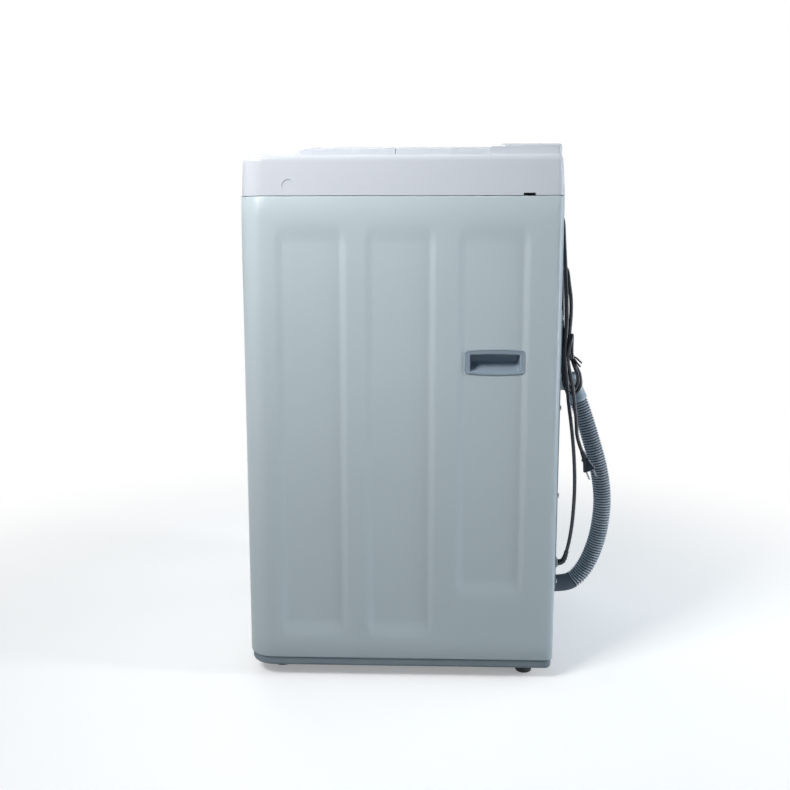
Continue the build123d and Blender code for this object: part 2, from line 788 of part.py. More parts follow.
def inlet_valve():
    """The electric inlet valve: a threaded inlet in the niche, its body and a pipe to the dispenser."""
    z = cover_top - inlet_drop
    floor_y = half_d - niche_depth - cover_wall - touch_gap
    body = Pos(inlet_x, floor_y - valve_body[1] / 2, z) * Box(*valve_body)
    body = chamfer(body.edges().filter_by(Axis.Y), 3)
    thread_y = half_d - niche_depth + inlet_neck
    valve = body + bar_y(floor_y, thread_y, inlet_x, z, inlet_neck_r)
    valve += bar_y(thread_y, thread_y + inlet_thread, inlet_x, z, inlet_thread_r)
    valve += bar_x(inlet_x, -drawer_half - touch_gap, inlet_pipe_y, z, inlet_bore_r / 2)
    valve += post(inlet_x, inlet_pipe_y, z + valve_body[2] / 2, cover_top - cover_wall - touch_gap,
                  valve_body[0] / 4)
    valve -= bar_y(floor_y - valve_body[1] / 2, half_d + inlet_thread, inlet_x, z, inlet_bore_r)
    return valve


sensor_height = 22.0
air_hose_r = 3.0
air_trap_z = (262.0, 310.0)


def level_sensor():
    """The pressure sensor under the top cover, with a spigot for its air hose."""
    top = cover_top - cover_wall - touch_gap
    sensor = post(sensor_x, sensor_y, top - sensor_height, top, sensor_r)
    return sensor + post(sensor_x, sensor_y, top - sensor_height - 3 * air_hose_r, top - sensor_height,
                         air_hose_r * 0.6)


def air_hose():
    """The air hose from the trap at the tub's foot up to the sensor."""
    top = cover_top - cover_wall - touch_gap - sensor_height
    return tube(sensor_x, sensor_y, air_trap_z[1], top, air_hose_r, air_hose_r * 0.6)


save("dispenser_housing", dispenser_housing())
save("dispenser_drawer", dispenser_drawer())
save("inlet_valve", inlet_valve())
save("level_sensor", level_sensor())
save("air_hose", air_hose())


# ================================================================== lid
knuckle_gap = 0.5        # between neighbouring knuckles, and round one in the other panel's edge
pin_outer = console_half - ear_edge_r - touch_gap


def knuckle_spans(side):
    """The x ranges of one panel's knuckles: side -1 for the front panel, 1 for the rear one."""
    first = -(knuckle_pairs - 1) / 2 * knuckle_pitch
    spans = []
    for i in range(knuckle_pairs):
        middle = first + i * knuckle_pitch
        inner, outer = middle + side * knuckle_gap, middle + side * knuckle_length / 2
        spans.append((min(inner, outer), max(inner, outer)))
    return spans


def with_knuckles(panel, side):
    """Cut room for the other panel's knuckles, then add this panel's own and bore them."""
    for x0, x1 in knuckle_spans(-side):
        panel -= bar_x(x0 - knuckle_gap, x1 + knuckle_gap, fold_y, lid_z, knuckle_r + knuckle_gap)
    for x0, x1 in knuckle_spans(side):
        panel += bar_x(x0, x1, fold_y, lid_z, knuckle_r)
    for x0, x1 in knuckle_spans(side):
        panel -= bar_x(x0 - through, x1 + through, fold_y, lid_z, fold_pin_r + run_gap)
    return panel


def lid_rear_panel():
    """The half of the lid that swings on the hinge pins, round along its rear edge."""
    edge = fold_y + fold_gap / 2
    panel = box(-lid_half, lid_half, edge, hinge_y, lid_z, lid_top)
    panel = fillet(top_edges(panel).filter_by(Axis.Y), lid_edge_r)
    panel += bar_x(-lid_half, lid_half, hinge_y, hinge_z, lid_thickness / 2)
    panel -= box(-lid_half + cover_wall, lid_half - cover_wall, edge + cover_wall,
                 hinge_y - lid_thickness, lid_z - through, lid_top - cover_wall)
    panel += ribs(edge, hinge_y - lid_thickness)
    reach = lid_half + through
    for side in (-1, 1):
        panel -= bar_x(side * (pin_outer - hinge_pin - touch_gap), side * reach, hinge_y, hinge_z,
                       hinge_pin_r + run_gap)
    return with_knuckles(panel, 1)


def ribs(y0, y1):
    """Stiffening ribs across a lid panel's hollow, along Y."""
    pieces = [box(x - cover_wall / 2, x + cover_wall / 2, y0, y1, lid_z + cover_wall,
                  lid_top - cover_wall / 2) for x in (-lid_half / 2, 0, lid_half / 2)]
    return pieces[0] + pieces[1] + pieces[2]


def lid_front_panel():
    """The half of the lid that is lifted: it slopes down to its front edge."""
    edge = fold_y - fold_gap / 2
    panel = upright([(edge, lid_z), (edge, lid_top), (lid_front + lid_ramp, lid_top),
                     (lid_front, lid_top - lid_ramp_drop), (lid_front, lid_z)], lid_half)
    panel = fillet(panel.faces().sort_by(Axis.Y)[0].edges().filter_by(Axis.Z), lid_edge_r * 2)
    panel = fillet(panel.faces().sort_by(Axis.Z)[-1].edges().filter_by(Axis.Y), lid_edge_r)
    panel -= box(-lid_half + cover_wall, lid_half - cover_wall, lid_front + lid_ramp - cover_wall,
                 edge - cover_wall, lid_z - through, lid_top - cover_wall)
    return with_knuckles(panel + ribs(lid_front + lid_ramp - 2 * cover_wall, edge), -1)


def lid_hinge_pins():
    """A pin through each ear into the lid's end."""
    pins = []
    for side in (-1, 1):
        pins.append(bar_x(side * pin_outer, side * (pin_outer - hinge_pin), hinge_y, hinge_z, hinge_pin_r))
    return pins


def lid_fold_pins():
    """One pin through each pair of knuckles."""
    first = -(knuckle_pairs - 1) / 2 * knuckle_pitch
    reach = knuckle_length / 2
    return [bar_x(first + i * knuckle_pitch - reach, first + i * knuckle_pitch + reach, fold_y, lid_z,
                  fold_pin_r) for i in range(knuckle_pairs)]


save("lid_rear_panel", lid_rear_panel())
save("lid_front_panel", lid_front_panel())
save("lid_hinge_pins", *lid_hinge_pins())
save("lid_fold_pins", *lid_fold_pins())


# ================================================================== tub and its suspension
neck_bore_r = 22.0
neck_top_z = tub_floor_z + tub_floor + 2.0
port_y = 85.0            # the tub's drain port, straight above the drain valve


def tub_lug(sx, sy):
    """The block at the tub's foot that hangs on one suspension rod."""
    reach = lug_width / 2
    x0, y0 = tub_r * 0.6, tub_r * 0.6
    lug = box(sx * x0, sx * (rod_x + reach), sy * y0, sy * (rod_y + reach), lug_z, lug_z + lug_thick)
    corner = lug.edges().filter_by(Axis.Z).sort_by(lambda e: -abs(e.center().X) - abs(e.center().Y))[0]
    return fillet(corner, reach * 0.8)


def outer_tub():
    """The water tub, with a lug for each rod, plate bosses, a drain port and the air trap."""
    tub = post(0, 0, tub_floor_z, tub_top_z, tub_r + tub_wall)
    for sx, sy in corners():
        tub += tub_lug(sx, sy)
    tub += Rot(0, 0, degrees(atan2(sensor_y, sensor_x))) * box(
        tub_r - 2 * tub_wall, sqrt(sensor_x ** 2 + sensor_y ** 2) + 3 * air_hose_r,
        -4 * air_hose_r, 4 * air_hose_r, air_trap_z[0], air_trap_z[1] - touch_gap)
    tub -= post(0, 0, tub_floor_z + tub_floor, tub_top_z + through, tub_r)
    tub -= post(0, 0, tub_floor_z - through, tub_floor_z + 2 * tub_floor, clutch_neck_r + touch_gap)
    for sx, sy in corners():
        tub -= post(sx * rod_x, sy * rod_y, lug_z - through, lug_z + lug_thick + through,
                    rod_r + 3 * loose_gap)
    for x, y in boss_places():
        tub += post(x, y, plate_z + plate_thick, tub_floor_z, tub_boss_r)
    tub += post(drain_x, port_y, plate_z + plate_thick, tub_floor_z, internal_hose_r + tub_wall)
    return tub - post(drain_x, port_y, plate_z, tub_floor_z + tub_floor + through, internal_hose_r)


def boss_places():
    """Centres of the bosses between the support plate and the tub's floor."""
    x, y = plate_size[0] / 2 - 2 * tub_boss_r, plate_size[1] / 2 - 2 * tub_boss_r
    return [(plate_x + sx * x, sy * y) for sx, sy in corners()]


def tub_ring():
    """The splash ring clipped over the tub's rim."""
    outer = tub_r + tub_wall + touch_gap
    top = tub_top_z + tub_ring_height
    ring = tube(0, 0, top - cover_wall, top, outer + cover_wall, tub_ring_r)
    ring += tube(0, 0, tub_top_z - tub_ring_height, top, outer + cover_wall, outer)
    ring += tube(0, 0, tub_top_z + touch_gap, top, outer + cover_wall, tub_r - cover_wall)
    return ring + tube(0, 0, tub_top_z + tub_wall, top, tub_ring_r + cover_wall, tub_ring_r)


def suspension_rods():
    """Four rods, each with a domed head on its bracket and a foot inside its damper sleeve."""
    rods = []
    seat = bracket_z + bracket_thick
    for sx, sy in corners():
        x, y = sx * rod_x, sy * rod_y
        dome = Pos(x, y, seat) * Sphere(seat_r) - box(x - 2 * seat_r, x + 2 * seat_r, y - 2 * seat_r,
                                                     y + 2 * seat_r, seat - 2 * seat_r, seat)
        foot = post(x, y, rod_bottom_z, rod_bottom_z + rod_foot, sleeve_r - sleeve_wall - slide_gap)
        rods.append(dome + post(x, y, rod_bottom_z, seat, rod_r) + foot)
    return rods


def damper_sleeves():
    """Four cups under the tub's lugs, each closed above round its rod."""
    sleeves = []
    for sx, sy in corners():
        x, y = sx * rod_x, sy * rod_y
        low = lug_z - sleeve_length
        cup = post(x, y, low, lug_z, sleeve_r)
        cup -= post(x, y, low - through, lug_z - sleeve_wall, sleeve_r - sleeve_wall)
        sleeves.append(cup - post(x, y, low, lug_z + through, rod_r + loose_gap))
    return sleeves


def suspension_springs():
    """Four coil springs between the rods' feet and the sleeves' caps."""
    low = rod_bottom_z + rod_foot + spring_wire_r + touch_gap
    high = lug_z - sleeve_wall - spring_wire_r - touch_gap
    coil_r = (rod_r + sleeve_r - sleeve_wall) / 2
    path = Helix((high - low) / spring_turns, high - low, coil_r)
    section = Plane(origin=path @ 0, z_dir=path % 0) * Circle(spring_wire_r)
    coil = sweep(section, path=path, is_frenet=True)
    return [Pos(sx * rod_x, sy * rod_y, low) * coil for sx, sy in corners()]


save("outer_tub", outer_tub())
save("tub_ring", tub_ring())
save("suspension_rods", *suspension_rods())
save("damper_sleeves", *damper_sleeves())
save("suspension_springs", *suspension_springs())


# ================================================================== basket, pulsator and shafts
rail_wall = 2.0
hub_r = 46.0
hub_thick = 5.0
shaft_bottom_z = clutch_z + 8.0
input_top_z = clutch_z + 26.0
pulsator_z = basket_base_z + basket_base + pulsator_gap


def wash_basket():
    """The steel basket with its hollow base and the pair of rails that the lint filter slides in."""
    basket = tube(0, 0, basket_base_z, basket_top_z, basket_r, basket_r - basket_wall)
    base = post(0, 0, basket_base_z, basket_base_z + basket_base, basket_r - basket_wall / 2)
    base -= tube(0, 0, basket_base_z - through, basket_base_z + basket_base - cover_wall,
                 basket_r - basket_wall - cover_wall, hub_r + cover_wall)
    basket += base - post(0, 0, basket_base_z - through, basket_base_z + basket_base + through, spin_shaft_r)
    deep, wide, tall = filter_size
    near = wide / 2 + slide_gap
    seat = post(0, 0, filter_z, filter_z + tall, basket_r - basket_wall / 2)
    for side in (-1, 1):
        basket += seat & box(side * near, side * (near + rail_wall), basket_r - deep * 1.2, basket_r,
                             filter_z, filter_z + tall)
    return basket


def balance_ring():
    """The sealed ring round the basket's mouth, full of brine, seated inside its wall."""
    outer = basket_r - basket_wall - touch_gap
    ring = tube(0, 0, basket_top_z - balance_height, basket_top_z, outer, balance_inner_r)
    return fillet(ring.faces().sort_by(Axis.Z)[-1].edges().sort_by(Axis.X)[0:1], cover_wall)


def lint_filter():
    """The lint filter's cassette, hollow and open at the top."""
    deep, wide, tall = filter_size
    wall_r = basket_r - basket_wall - touch_gap
    inner = sqrt(wall_r ** 2 - (wide / 2) ** 2) - deep
    body = box(-wide / 2, wide / 2, inner, wall_r, filter_z, filter_z + tall)
    body &= post(0, 0, filter_z, filter_z + tall, wall_r)
    hollow = box(-wide / 2 + cover_wall, wide / 2 - cover_wall, 0, basket_r, filter_z + cover_wall,
                 filter_z + tall + through)
    hollow &= box(-wide, wide, inner + cover_wall, inner + deep - cover_wall / 2, filter_z,
                  filter_z + tall + through)
    return body - hollow


def pulsator():
    """The ribbed disc that turns in the basket's floor, domed at its middle."""
    disc = post(0, 0, pulsator_z, pulsator_z + pulsator_rim, pulsator_r)
    disc = fillet(top_edges(disc), pulsator_rim * 0.4)
    dome_r = pulsator_r * 0.3
    top = pulsator_z + pulsator_dome
    disc += Pos(0, 0, (pulsator_z + top) / 2) * Cone(dome_r, dome_r * 0.6, pulsator_dome)
    for i in range(vane_count):
        vane = box(0, pulsator_r - pulsator_rim, -vane_thick / 2, vane_thick / 2, pulsator_z,
                   pulsator_z + vane_height)
        vane = chamfer(vane.faces().sort_by(Axis.X)[-1].edges().sort_by(Axis.Z)[-1], vane_height * 0.6)
        disc += Rot(0, 0, i * 360 / vane_count) * vane
    return disc - post(0, 0, pulsator_z - through, top - cover_wall, pulsator_shaft_r)


def spin_shaft():
    """The tubular shaft that carries the basket on its flange."""
    shaft = tube(0, 0, shaft_bottom_z, basket_base_z + basket_base, spin_shaft_r, pulsator_shaft_r + run_gap)
    return shaft + tube(0, 0, basket_base_z - hub_thick, basket_base_z, hub_r, spin_shaft_r - loose_gap)


def pulsator_shaft():
    """The inner shaft, from the gearbox up to the pulsator."""
    return post(0, 0, input_top_z + 2 * hub_thick, pulsator_z + pulsator_dome - cover_wall, pulsator_shaft_r)


bearing_height = 12.0
bearings_z = (clutch_z + 14.0, neck_top_z - bearing_height - 5.0)


def shaft_bearings():
    """The two bearings that the spin shaft turns in."""
    return [tube(0, 0, z, z + bearing_height, neck_bore_r, spin_shaft_r + run_gap) for z in bearings_z]


def tub_seal():
    """The lip seal that closes the gearbox neck round the spin shaft."""
    seal = tube(0, 0, neck_top_z - hub_thick, neck_top_z, neck_bore_r, spin_shaft_r + run_gap)
    return seal + tube(0, 0, neck_top_z, neck_top_z + cover_wall, clutch_neck_r, spin_shaft_r + run_gap)


save("wash_basket", wash_basket())
save("balance_ring", balance_ring())
save("lint_filter", lint_filter())
save("pulsator", pulsator())
save("spin_shaft", spin_shaft())
save("pulsator_shaft", pulsator_shaft())
save("shaft_bearings", *shaft_bearings())
save("tub_seal", tub_seal())


# ================================================================== drive
groove_half = belt_width / 2 + loose_gap
post_r = 6.0


def gearbox():
    """The clutch and gear housing under the support plate, its neck up through the tub's floor."""
    body = post(0, 0, clutch_z, plate_z, clutch_r)
    body = chamfer(body.faces().sort_by(Axis.Z)[0].edges(), cover_wall * 3)
    body += post(0, 0, plate_z, neck_top_z, clutch_neck_r)
    body -= post(0, 0, shaft_bottom_z, neck_top_z + through, neck_bore_r)
    return body - post(0, 0, clutch_z - through, shaft_bottom_z + through, input_shaft_r + run_gap)


def support_plate():
    """The steel plate bolted under the tub that carries the gearbox and the motor."""
    plate = Pos(plate_x, 0, plate_z + plate_thick / 2) * Box(plate_size[0], plate_size[1], plate_thick)
    plate = fillet(plate.edges().filter_by(Axis.Z), tub_boss_r)
    return plate - post(0, 0, plate_z - through, plate_z + plate_thick + through, clutch_neck_r + touch_gap)


def grooved_pulley(x, radius, hub, shaft_r):
    """A belt pulley about z: a flat groove between two rims, webbed round a hub."""
    low, high = pulley_z - pulley_width / 2, pulley_z + pulley_width / 2
    pulley = post(x, 0, low, high, radius)
    pulley -= tube(x, 0, pulley_z - groove_half, pulley_z + groove_half, radius + through,
                   radius - pulley_rim)
    inside = radius - pulley_rim - cover_wall * 1.6
    if inside > hub + cover_wall:
        pulley -= tube(x, 0, pulley_z + cover_wall, high + through, inside, hub)
        pulley -= tube(x, 0, low - through, pulley_z - cover_wall, inside, hub)
    return pulley + post(x, 0, low, high, shaft_r)


def drive_pulley():
    """The driven pulley on the gearbox's input shaft."""
    pulley = grooved_pulley(0, pulley_r, 2 * input_shaft_r, input_shaft_r)
    return pulley + post(0, 0, pulley_z, input_top_z, input_shaft_r)


def motor_pulley():
    """The small pulley on the motor's shaft."""
    top = motor_z + motor_length * 0.8
    return grooved_pulley(motor_x, motor_pulley_r, 2 * input_shaft_r, input_shaft_r) + post(
        motor_x, 0, pulley_z, top, input_shaft_r)


motor_z = pulley_z + pulley_width / 2 + motor_gap


def motor():
    """The induction motor, hung from the support plate on four posts."""
    body = post(motor_x, 0, motor_z, motor_z + motor_length, motor_r)
    body = fillet(body.edges().filter_by(GeomType.CIRCLE), motor_gap)
    for sx, sy in corners():
        offset = motor_r * 0.62
        body += post(motor_x + sx * offset, sy * offset, motor_z + motor_length / 2,
                     plate_z - touch_gap, post_r)
    return body - post(motor_x, 0, motor_z - through, motor_z + motor_length * 0.85, input_shaft_r + run_gap)


def belt_outline(grow):
    """The belt's path round both pulleys, grown outward from the groove floors."""
    big = Circle(pulley_r - pulley_rim + grow)
    small = Pos(motor_x, 0) * Circle(motor_pulley_r - pulley_rim + grow)
    return make_hull(big.edges() + small.edges())


def drive_belt():
    """The belt, just clear of both groove floors."""
    loop = belt_outline(belt_gap + belt_thick) - belt_outline(belt_gap)
    return raise_plan(loop, pulley_z - belt_width / 2, pulley_z + belt_width / 2)


def capacitor():
    """The motor's run capacitor, strapped under the support plate."""
    z = plate_z - touch_gap - capacitor_r
    return bar_x(0, capacitor_length, capacitor_y, z, capacitor_r)


capacitor_y = clutch_r + capacitor_r + 4.0

save("gearbox", gearbox())
save("support_plate", support_plate())
save("drive_pulley", drive_pulley())
save("motor_pulley", motor_pulley())
save("motor", motor())
save("drive_belt", drive_belt())
save("capacitor", capacitor())


# ================================================================== drain
valve_rear = port_y + valve_r
valve_front = valve_rear - valve_length - plunger_travel
outlet_wall = 2.5
bellows_low = drain_z + valve_r
bellows_high = plate_z + plate_thick
bellows_ribs = 7


def drain_valve():
    """The valve chamber below the tub's drain port, its outlet pipe and its pedestal on the base."""
    body = bar_y(valve_front, valve_rear, drain_x, drain_z, valve_r)
    body += post(drain_x, port_y, drain_z, bellows_low, internal_hose_r + outlet_wall)
    body += bar_y(valve_rear, hose_start, drain_x, drain_z, internal_hose_r)
    body += box(drain_x - valve_r / 2, drain_x + valve_r / 2, valve_front, valve_rear, pedestal_z, drain_z)
    body -= bar_y(valve_front + outlet_wall, valve_rear - outlet_wall, drain_x, drain_z,
                  valve_r - outlet_wall)
    body -= post(drain_x, port_y, drain_z, bellows_low + through, internal_hose_r)
    body -= bar_y(valve_rear - 2 * outlet_wall, hose_start + through, drain_x, drain_z,
                  internal_hose_r - outlet_wall)
    return body - bar_y(valve_front - through, valve_front + 2 * outlet_wall, drain_x, drain_z,
                        plunger_rod_r + run_gap)


pedestal_z = cabinet_z + touch_gap


def drain_plunger():
    """The valve's plunger on its rod, shut against the outlet."""
    seat = valve_rear - outlet_wall - touch_gap
    plunger = bar_y(seat - plunger_length, seat, drain_x, drain_z, plunger_r)
    plunger = chamfer(plunger.faces().sort_by(Axis.Y)[-1].edges(), cover_wall)
    return plunger + bar_y(valve_front - actuator_gap - plunger_travel, seat - plunger_length,
                           drain_x, drain_z, plunger_rod_r)


def drain_actuator():
    """The electric actuator that pulls the plunger's rod."""
    rear = valve_front - actuator_gap + plunger_travel / 2
    wide, deep, tall = actuator_size
    body = box(drain_x - wide / 2, drain_x + wide / 2, rear - deep, rear, drain_z - tall / 2,
               drain_z + tall / 2)
    body = fillet(body.edges().filter_by(Axis.Y), tall * 0.15)
    body += box(drain_x - wide / 4, drain_x + wide / 4, rear - deep, rear, pedestal_z, drain_z)
    return body - bar_y(rear - deep * 0.8, rear + through, drain_x, drain_z, plunger_rod_r + run_gap)


def sump_bellows():
    """The rubber bellows that joins the hanging tub's port to the fixed valve."""
    low, high = bellows_low + touch_gap, bellows_high - touch_gap
    inner, outer = internal_hose_r, internal_hose_r + outlet_wall
    pitch = (high - low) / (2 * bellows_ribs)
    waves = [(outer + (outlet_wall if i % 2 else 0), 0, low + i * pitch) for i in range(2 * bellows_ribs + 1)]
    skin = make_face(Polyline(*waves, (inner, 0, high), (inner, 0, low), close=True))
    return Pos(drain_x, port_y) * revolve(skin, Axis.Z)


save("drain_valve", drain_valve())
save("drain_plunger", drain_plunger())
save("drain_actuator", drain_actuator())
save("sump_bellows", sump_bellows())


# ================================================================== hoses and cords
def bend_radii(points):
    """The largest radius each bend of a route allows: 0.45 of its shorter run over tan(half the turn)."""
    radii = []
    for a, b, c in zip(points, points[1:], points[2:]):
        before, after = Vector(*b) - Vector(*a), Vector(*c) - Vector(*b)
        shorter = min(before.length, after.length)
        radii.append(0.45 * shorter / tan(radians(before.get_angle(after) / 2)))
    return radii


def route_tube(name, points, radius, bore=0.0):
    """A tube along straight runs joined by tangent arcs; its bends and length are printed."""
    radii = bend_radii(points)
    path = FilletPolyline(*points, radius=radii)
    shape = sweep(Plane(origin=path @ 0, z_dir=path % 0) * Circle(radius), path=path)
    length = path.length
    print(name, "length", round(length), "smallest bend", round(min(radii)),
          "volume over section by length", round(shape.volume / (pi * radius ** 2 * length), 4))
    if bore:
        shape -= sweep(Plane(origin=path @ 0, z_dir=path % 0) * Circle(bore), path=path)
    return shape


def from_outlet(x, points):
    """Route points given as (across from the outlet, behind the rear face, height)."""
    return [(x + dx, half_d + dy, z) for dx, dy, z in points]


hose_route = from_outlet(drain_x, [
    (0, hose_foot, drain_z),
    (0, 30, drain_z),
    (0.5, 49, 141),
    (1.5, 66, 162),
    (3, 81, 196),
    (5, 91, 240),
    (6.5, 94, 292),
    (8, 86, 344),
    (9, 68, 402),
    (9.5, 53.5, 446),
    (10, 44.5, 468),
])
lead_route = from_outlet(cord_x, [
    (0, 6, cord_z),
    (0, 13, cord_z),
    (0, 18, 205.5),
    (0.5, 21.5, 219),
    (1, 26, 241),
    (2, 30, 275),
    (2.5, 32, 330),
    (1, 29.5, 384),
    (-3, 24, 436),
    (-7, 19, 470),
    (-10, 16.5, 498),
])
tail_route = from_outlet(cord_x, [
    (-13, 26, 498),
    (-14, 29.5, 474),
    (-15, 34, 440),
    (-15, 35.5, 410),
    (-15, 45, 388),
])


def drain_hose():
    """The corrugated drain hose, as a plain tube of its outer size, from its collar up to its cuff."""
    return route_tube("drain_hose", hose_route, hose_r)


def hose_collar():
    """The ring that clamps the hose's foot on the outlet."""
    return bar_y(back_y + touch_gap, hose_start, drain_x, drain_z, hose_collar_r) - bar_y(
        back_y, hose_start + through, drain_x, drain_z, internal_hose_r + run_gap)


def last_run(points):
    """The direction of a route's last run."""
    return (Vector(*points[-1]) - Vector(*points[-2])).normalized()


cuff_lean = last_run(hose_route)


def hose_cuff():
    """The smooth rubber cuff on the hose's upper end."""
    start = Vector(*hose_route[-1])
    place = Plane(origin=start, z_dir=cuff_lean)
    cuff = extrude(place * Circle(cuff_r), cuff_length)
    return cuff - extrude(place.offset(cuff_length * 0.35) * Circle(cuff_r - outlet_wall), cuff_length)


def hose_holder():
    """The clip on the access cover that the cuff is pressed into."""
    centre = Vector(*hose_route[-1]) + cuff_lean * (cuff_length * 0.62)
    low, high = centre.Z - holder_height / 2, centre.Z + holder_height / 2
    outer = cuff_r + holder_wall + loose_gap
    clip = post(centre.X, centre.Y, low, high, outer)
    clip += box(centre.X - cuff_r, centre.X + cuff_r, rear_cover_y + touch_gap, centre.Y, low, high)
    lean = Plane(origin=Vector(*hose_route[-1]), z_dir=cuff_lean)
    clip -= extrude(lean * Circle(cuff_r + touch_gap), 2 * cuff_length)
    return clip - box(centre.X - cuff_r * 0.7, centre.X + cuff_r * 0.7, centre.Y + cuff_r * 0.6,
                      centre.Y + 2 * outer, low - through, high + through)


def strain_relief():
    """The grommet that the power cord leaves the access cover through."""
    lip_r = grommet_r + grommet_lip
    relief = bar_y(back_y - 2 * sheet, lead_route[0][1], cord_x, cord_z, grommet_r)
    relief += bar_y(rear_cover_y + touch_gap, lead_route[0][1], cord_x, cord_z, lip_r)
    return relief - bar_y(back_y - 3 * sheet, lead_route[0][1] + through, cord_x, cord_z, cord_r / 2)


hank_outline = from_outlet(cord_x - 28, [
    (0, 5.5, 780),
    (0, 9, 787),
    (0, 13, 778),
    (0, 13, 700),
    (0, 24, 626),
    (0, 24, 556),
    (0, 39, 524),
    (0, 39, 498),
    (0, 24, 474),
    (0, 8, 492),
    (0, 5.5, 560),
])
hank_width = 24.0
hank_soft = 2.0


def power_cord_hank():
    """The spare cord, wound in long loops and tied: the closed outer shape of the bundle."""
    hank = extrude(make_face(Polyline(*hank_outline, close=True)), hank_width, dir=(1, 0, 0))
    return fillet(hank.edges().filter_by(Axis.X), hank_soft)


plug_sleeve = 14.0
plug_sleeve_r = 5.0
plug_body = 20.0
plug_body_size = (26.0, 17.0)


def plug():
    """The moulded plug: a tapered sleeve, its body and two flat blades."""
    start = Vector(*tail_route[-1])
    place = Plane(origin=start, x_dir=(1, 0, 0), z_dir=last_run(tail_route))
    body = loft([place * Circle(plug_sleeve_r * 0.8),
                 place.offset(plug_sleeve) * Circle(plug_sleeve_r * 1.3)])
    wide, thin = plug_body_size
    face = place.offset(plug_sleeve) * RectangleRounded(wide, thin, thin * 0.35)
    body += extrude(face, plug_body)
    for side in (-1, 1):
        blade = place.offset(plug_sleeve + plug_body) * Pos(side * plug_pitch / 2, 0) * Rectangle(
            plug_blade[0], plug_blade[1])
        body += extrude(blade, plug_blade[2])
    return body


save("drain_hose", drain_hose())
save("hose_collar", hose_collar())
save("hose_cuff", hose_cuff())
save("hose_holder", hose_holder())
save("strain_relief", strain_relief())
save("power_cord_lead", route_tube("power_cord_lead", lead_route, cord_r))
save("power_cord_hank", power_cord_hank())
save("power_cord_tail", route_tube("power_cord_tail", tail_route, cord_r))
save("plug", plug())
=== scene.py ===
"""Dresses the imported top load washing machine: its pressed steel, moulded plastic, hose and cord,
each with the finish of the real material. Metres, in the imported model's own frame."""

import json
import math

import bmesh
import bpy
from mathutils import Matrix, Vector, kdtree


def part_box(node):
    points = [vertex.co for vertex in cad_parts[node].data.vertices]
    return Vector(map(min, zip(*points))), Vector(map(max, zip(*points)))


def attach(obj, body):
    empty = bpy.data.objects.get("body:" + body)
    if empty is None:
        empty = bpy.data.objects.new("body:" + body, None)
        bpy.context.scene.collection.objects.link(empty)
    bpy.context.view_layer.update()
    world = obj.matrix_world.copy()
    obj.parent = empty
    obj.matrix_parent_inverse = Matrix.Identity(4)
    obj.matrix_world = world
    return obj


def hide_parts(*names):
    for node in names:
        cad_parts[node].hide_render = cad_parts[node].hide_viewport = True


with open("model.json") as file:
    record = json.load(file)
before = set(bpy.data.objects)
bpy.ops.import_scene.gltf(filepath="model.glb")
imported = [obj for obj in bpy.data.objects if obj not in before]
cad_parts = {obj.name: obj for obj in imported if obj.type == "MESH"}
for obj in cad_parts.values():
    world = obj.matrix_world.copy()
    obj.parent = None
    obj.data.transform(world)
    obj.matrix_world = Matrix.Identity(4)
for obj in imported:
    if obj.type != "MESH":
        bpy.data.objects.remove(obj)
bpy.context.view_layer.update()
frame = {"nodes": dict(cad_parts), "record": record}

bl_info = {
    "name": "Top load washer dressing",
    "version": (1, 0, 0),
    "blender": (4, 5, 0),
    "location": "3D View > Sidebar > Washer",
    "description": "Builds the detailed pieces and finishes of a top load washing machine",
    "category": "Add Mesh",
}

MM = 0.001
LEAST_CORNER = 0.3 * MM      # plan corner radius that is left where an inset is larger than the corner
SHEET_WALL = 0.9 * MM        # wall of the cabinet's pressed sheet
PRINT_THICK = 0.12 * MM      # how far a print or window stands out of the face it is on


# ---------------------------------------------------------------- colours and nodes
def hex_linear(code):
    """An sRGB hex colour as linear RGBA."""
    parts = [int(code[i:i + 2], 16) / 255 for i in (1, 3, 5)]
    return [p / 12.92 if p <= 0.04045 else ((p + 0.055) / 1.055) ** 2.4 for p in parts] + [1.0]


def add(tree, kind, inputs=(), **settings):
    """Add a node, set its properties, then set or link its inputs."""
    node = tree.nodes.new(kind)
    for name, value in settings.items():
        setattr(node, name, value)
    for name, value in dict(inputs).items():
        if isinstance(value, bpy.types.NodeSocket):
            tree.links.new(value, node.inputs[name])
        else:
            node.inputs[name].default_value = value
    return node


def finish(name, colour, **sockets):
    """A new material on a Principled shader: its plain values go straight on the shader's sockets."""
    material = bpy.data.materials.new(name)
    material.use_nodes = True
    tree = material.node_tree
    tree.nodes.clear()
    shader = add(tree, "ShaderNodeBsdfPrincipled", {"Base Color": colour, **sockets})
    add(tree, "ShaderNodeOutputMaterial", {"Surface": shader.outputs[0]})
    return material, tree, shader


def grained(tree, shader, scales, depth_mm, strength, squash=(1, 1, 1)):
    """Relief from noise of one or more real sizes in millimetres, added on the shader's normal."""
    place = add(tree, "ShaderNodeTexCoord").outputs["Object"]
    stretched = add(tree, "ShaderNodeMapping", {"Vector": place, "Scale": squash}).outputs[0]
    normal = None
    for size, share in scales:
        noise = add(tree, "ShaderNodeTexNoise", {"Vector": stretched, "Scale": 1 / (size * MM),
                                                 "Detail": 2.0, "Roughness": 0.55})
        inputs = {"Height": noise.outputs[0], "Strength": strength * share,
                  "Distance": depth_mm * MM * share}
        if normal is not None:
            inputs["Normal"] = normal
        normal = add(tree, "ShaderNodeBump", inputs).outputs[0]
    tree.links.new(normal, shader.inputs["Normal"])
    return stretched


